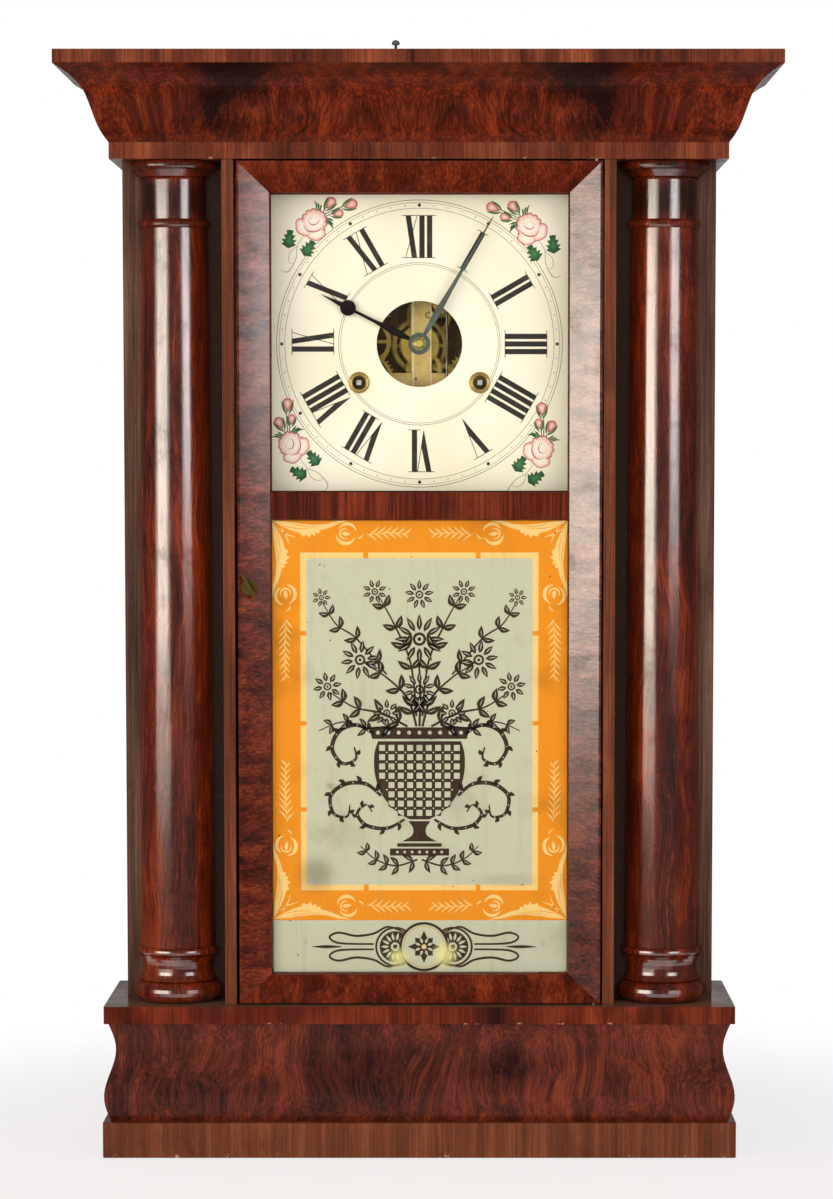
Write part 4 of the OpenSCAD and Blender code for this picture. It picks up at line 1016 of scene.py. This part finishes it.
def bouquet(work):
    leafy_stem(work, [(2, -3, 0.8), (8, 16, 0.8), (22, 30, 0.6), (36, 39, 0.4)], 3, 12)
    leafy_stem(work, [(8, -3, 0.8), (26, 6, 0.8), (44, 10, 0.6), (60, 20, 0.4)], 4, 12)
    leafy_stem(work, [(2, 4, 0.7), (6, 40, 0.7), (17, 66, 0.6), (28, 86, 0.3)], 5, 12)
    leafy_stem(work, [(22, 32, 0.6), (42, 56, 0.6), (56, 66, 0.5), (66, 82, 0.3)], 4, 10)
    leafy_stem(work, [(14, -2, 0.6), (36, -4, 0.6), (52, 0, 0.5), (68, -6, 0.3)], 4, 9)
    work.stroke([(0, -3, 0.8), (0.6, 20, 0.8), (-0.4, 42, 0.6)], *DARK)
    star_flower(work, 0, 56, 17, 12)
    star_flower(work, 0, 22, 12, 10, 18)
    for flip in (1, -1):
        star_flower(work, flip * 40, 42, 13.5, 10, 9)
        star_flower(work, flip * 62, 24, 10, 8, 12)
        star_flower(work, flip * 22, 6, 9.5, 8, 0)
        star_flower(work, flip * 30, 88, 8.5, 8, 22)
        star_flower(work, flip * 66, 84, 6.5, 7, 0)
    star_flower(work, 0, 86, 10, 9, 10)


def tablet_band(work, low, high):
    """A ringed rosette between two rayed discs, with looped bars to both sides."""
    z = (low + high) / 2
    reach = (high - low) / 2 - 1.2
    for side in (1, -1):
        for up in (1, -1):
            loop = [(12, 9, 0.5), (24, 13.6, 0.7), (34, 9, 0.75), (46, 7.4, 0.8), (58, 9.6, 0.75),
                    (64, 6.4, 0.7), (57, 2.4, 0.7), (34, 1.8, 0.6)]
            work.stroke([(side * x, z + up * rise, half) for x, rise, half in loop], *DARK)
        work.stroke([(side * 56, z, 0.3), (side * 66, z, 1.1), (side * 76, z, 0.15)], *DARK)
        x = side * 19.5
        work.ring(x, z, 13.6, 12.2, 48, *DISC)
        work.plate(ring_points(x, z, 10.6, 40), *DISC)
        for i in range(14):
            work.plate(petal(5.6, 1.7, 4.2, (x, z), i * 360 / 14), *RAY)
        work.plate(ring_points(x, z, 3.0, 20), *RAY, [ring_points(x, z, 1.5, 16)[::-1]])
    work.plate(ring_points(0, z, reach, 64), *PALE)
    work.ring(0, z, reach, reach - 1.8, 64, *ROSETTE)
    work.ring(0, z, reach - 2.6, reach - 3.2, 64, rgb(190, 166, 96), 0.17)
    star = []
    for i in range(8):
        for radius, angle in ((11.0 if i % 2 == 0 else 8.6, i * 45), (6.2, i * 45 + 22.5)):
            star.append((radius * math.cos(math.radians(angle)), z + radius * math.sin(math.radians(angle))))
    petals = [petal(4.2, 1.6, 2.6, (0, z), 22.5 + i * 45)[::-1] for i in range(8)]
    work.plate(star, *ROSETTE, petals)
    work.plate(ring_points(0, z, 1.7, 16), rgb(214, 196, 140), 0.19)


def tablet_stuff():
    """Old oil paint behind glass: warmer above, duller below, with rubbed and stained places."""
    g = material("tablet paint")
    own = g.add("VertexColor", layer_name="paint").outputs["Color"]
    x, y, z = g.split()
    cloud = g.grit(24, 5.0, 0.6, (2, 3, 4))
    streak = g.noise(g.place((180, 180, 9)), 4.0, 0.6)
    speck = g.grit(1300, 2.0, 0.6)
    fade = g.mix(g.span(z, 0.16, 0.42, 0.9, 1.0), rgb(205, 205, 215), rgb(255, 255, 255))
    colour = g.mix(g.span(z, 0.16, 0.40, 0.75, 0.0), own, fade, "MULTIPLY")
    stain = g.times(g.span(cloud, 0.52, 0.75), 0.3)
    colour = g.mix(stain, colour, rgb(150, 138, 104), "MULTIPLY")
    colour = g.mix(g.span(streak, 0.55, 0.75, 0, 0.16), colour, rgb(128, 112, 84))
    colour = g.mix(g.span(speck, 0.62, 0.72, 0, 0.22), colour, rgb(120, 96, 60))
    smudge = spots(g, [(-70, 190, 14, 14, 0.5), (60, 186, 26, 5, 0.2), (-60, 250, 4, 3, 0.35)])
    colour = g.mix(smudge, colour, rgb(96, 84, 58))
    yellowed = spots(g, [(-14, 133, 7, 7, 0.7), (17, 135, 8, 9, 0.7)])
    colour = g.mix(yellowed, colour, rgb(236, 228, 150))
    height = g.plus(streak, g.times(speck, 0.4))
    return g.surface(colour, g.span(cloud, 0.3, 0.7, 0.5, 0.65), g.bump(height, 0.12, 0.2 * MM),
                     Specular_IOR_Level=0.12)


def tablet():
    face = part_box("tablet_glass")[1].y / MM + 0.22
    x0, x1 = -100.25, 100.25
    low, high = 122.5, 430.0
    band_top = 158.6
    made = tablet_stuff()
    ground = Paintwork("tablet_ground", (TABLET_X, 0), face, 0.15)
    ground.plate(block(x0 - 2.4, low - 2.4, x1 + 2.4, high + 2.4), GREYGREEN, 0.05)
    ground.build("door", made)
    frame_paint = Paintwork("tablet_border", (TABLET_X, 0), face)
    border(frame_paint, x0, band_top, x1, high)
    frame_paint.build("door", made)
    picture = Paintwork("tablet_stencil", (0, (PANEL[1] + PANEL[3]) / 2), face)
    scroll(picture, [(31, -8, 0.9), (42, -2, 1.3), (54, -6, 1.5), (59, -18, 1.4), (52, -28, 1.2),
                     (43, -25, 0.9), (44, -17, 0.5)], 7, 6.5)
    scroll(picture, [(26, -50, 0.9), (36, -42, 1.3), (50, -42, 1.4), (60, -50, 1.3), (58, -62, 1.1),
                     (49, -64, 0.8), (47, -56, 0.4)], 7, 6.5)
    scroll(picture, [(10, -66, 0.8), (22, -72, 1.2), (36, -70, 1.3), (42, -62, 1.1), (36, -56, 0.7),
                     (32, -61, 0.4)], 6, 6, -1)
    urn(picture)
    bouquet(picture)
    picture.build("door", made)
    band = Paintwork("tablet_band", (3.0, 0), face)
    tablet_band(band, low, band_top)
    band.build("door", made)
    flaws = Paintwork("tablet_specks", (TABLET_X, 0), face)
    for i in range(70):
        x, z = rng.uniform(x0 + 3, x1 - 3), rng.uniform(low + 3, high - 3)
        size = rng.choice((0.22, 0.3, 0.3, 0.4, 0.55))
        flaws.plate(ring_points(x, z, size, 7, rng.uniform(0, 6)), rgb(58, 44, 30), 0.19)
    flaws.build("door", made)


tablet()


# Nail head and softened edges


def top_nail():
    """A turned metal head that stands out of the top of the cornice."""
    sides = 24
    at_x, at_y, top = -15.5, -20.0, 737.0
    profile = [(0.9, -3.0), (0.9, 8.2), (2.4, 8.3), (2.7, 8.9), (2.7, 9.4), (2.3, 10.4), (1.4, 11.2),
               (0.2, 11.5)]
    points = [(x * MM, y * MM, (top + height) * MM) for radius, height in profile
              for x, y in ring_points(at_x, at_y, radius, sides)]
    nail = mesh_piece("top_nail", points, tube(sides, len(profile) - 1), HAND_STEEL)
    for face in nail.data.polygons:
        face.use_smooth = True
    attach(nail, "case")


top_nail()

SHARP = 38


def soften(names, width):
    """Rounds the edges of CAD pieces a little, so that they catch the light."""
    for name in names:
        obj = nodes[name]
        weld = obj.modifiers.new("weld", "WELD")
        weld.merge_threshold = 0.002 * MM
        edge = obj.modifiers.new("edge", "BEVEL")
        edge.width = width * MM
        edge.segments = 2
        edge.limit_method = "ANGLE"
        edge.angle_limit = math.radians(SHARP)
        edge.harden_normals = False


soften(["plinth", "ledge_board", "frieze_board", "cornice_cap", "jamb_left", "jamb_right", "case_side_left",
        "case_side_right"], 0.6)
soften(["front_plate"], 0.35)


# Stage and light


def stage_floor():
    """A pale floor that fades out to the white of the background."""
    half = 0.9
    g = material("pale floor")
    x, y, z = g.split()
    far = g.span(g.far(x, y), 0.28, 0.62)
    grain = g.grit(30, 3.0)
    colour = g.ramp(grain, [(0.3, rgb(246, 240, 240)), (0.7, rgb(250, 246, 246))])
    near = g.add("BsdfPrincipled", {"Base Color": colour, "Roughness": 0.8})
    white = g.add("Emission", {0: (1, 0.985, 0.98, 1), 1: 1.0})
    lifted = g.add("MixShader", {0: g.times(light_seen(g), 0.75), 1: near.outputs[0], 2: white.outputs[0]})
    clear = g.add("BsdfTransparent")
    g.show(g.add("MixShader", {0: far, 1: lifted.outputs[0], 2: clear.outputs[0]}).outputs[0])
    corners = [(x, y, 0) for x, y in block(-half, -half, half, half)]
    floor = mesh_piece("floor", corners, [(0, 1, 2, 3)], g.owner)
    floor.location.z = -0.4 * MM


def light_seen(g):
    """1 for the rays that show the background: camera, glossy and transmission rays."""
    path = g.add("LightPath").outputs
    seen = g.calc("MAXIMUM", path["Is Camera Ray"], path["Is Glossy Ray"])
    return g.calc("MAXIMUM", seen, path["Is Transmission Ray"])


ROOM_LIGHT = 0.26
FRONT_FILL = 1.75
FRONT_GLOW = 0.05


def studio():
    """A room that is white behind the object and dim on the camera's side, with a white background."""
    world = bpy.data.worlds.new("studio")
    bpy.context.scene.world = world
    g = Graph(world)
    look = g.add("TexCoord").outputs["Generated"]
    x, y, z = g.split(look)
    path = g.add("LightPath").outputs
    shown = g.calc("MAXIMUM", g.span(y, 0.95, 0.985), FRONT_GLOW)
    room = g.calc("MULTIPLY_ADD", g.span(z, 0.0, 0.9), 0.2, ROOM_LIGHT)
    room = g.calc("MULTIPLY_ADD", g.span(y, -0.6, -0.97), FRONT_FILL, room)
    level = g.calc("MULTIPLY_ADD", g.minus(shown, room), light_seen(g), room)
    level = g.calc("MAXIMUM", level, path["Is Camera Ray"])
    shade = g.add("Background", {0: (1, 1, 1, 1), 1: level})
    g.add("OutputWorld", {0: shade.outputs[0]})


def soft_box(name, azimuth, width, height, distance, middle_z, power, colour):
    """A tall lamp at an azimuth from the front, aimed at the object."""
    data = bpy.data.lights.new(name, "AREA")
    data.shape = "RECTANGLE"
    data.size = width
    data.size_y = height
    data.energy = power
    data.color = colour
    lamp = placed(name, data)
    turn = math.radians(azimuth)
    lamp.location = (math.sin(turn) * distance, -math.cos(turn) * distance, middle_z)
    aim = Vector((0, 0, middle_z - 0.1)) - lamp.location
    lamp.rotation_euler = aim.to_track_quat("-Z", "Y").to_euler()


stage_floor()
studio()
WARM = (1.0, 0.91, 0.78)
COOL = (1.0, 0.93, 0.91)
soft_box("left box", -43, 1.5, 0.85, 1.8, 0.51, 7.0, WARM)
soft_box("left box core", -43, 1.0, 0.5, 1.79, 0.51, 6.0, WARM)
soft_box("right box", 37, 1.0, 0.6, 1.8, 0.64, 3.2, COOL)
soft_box("right box core", 37, 0.65, 0.35, 1.79, 0.64, 2.0, COOL)
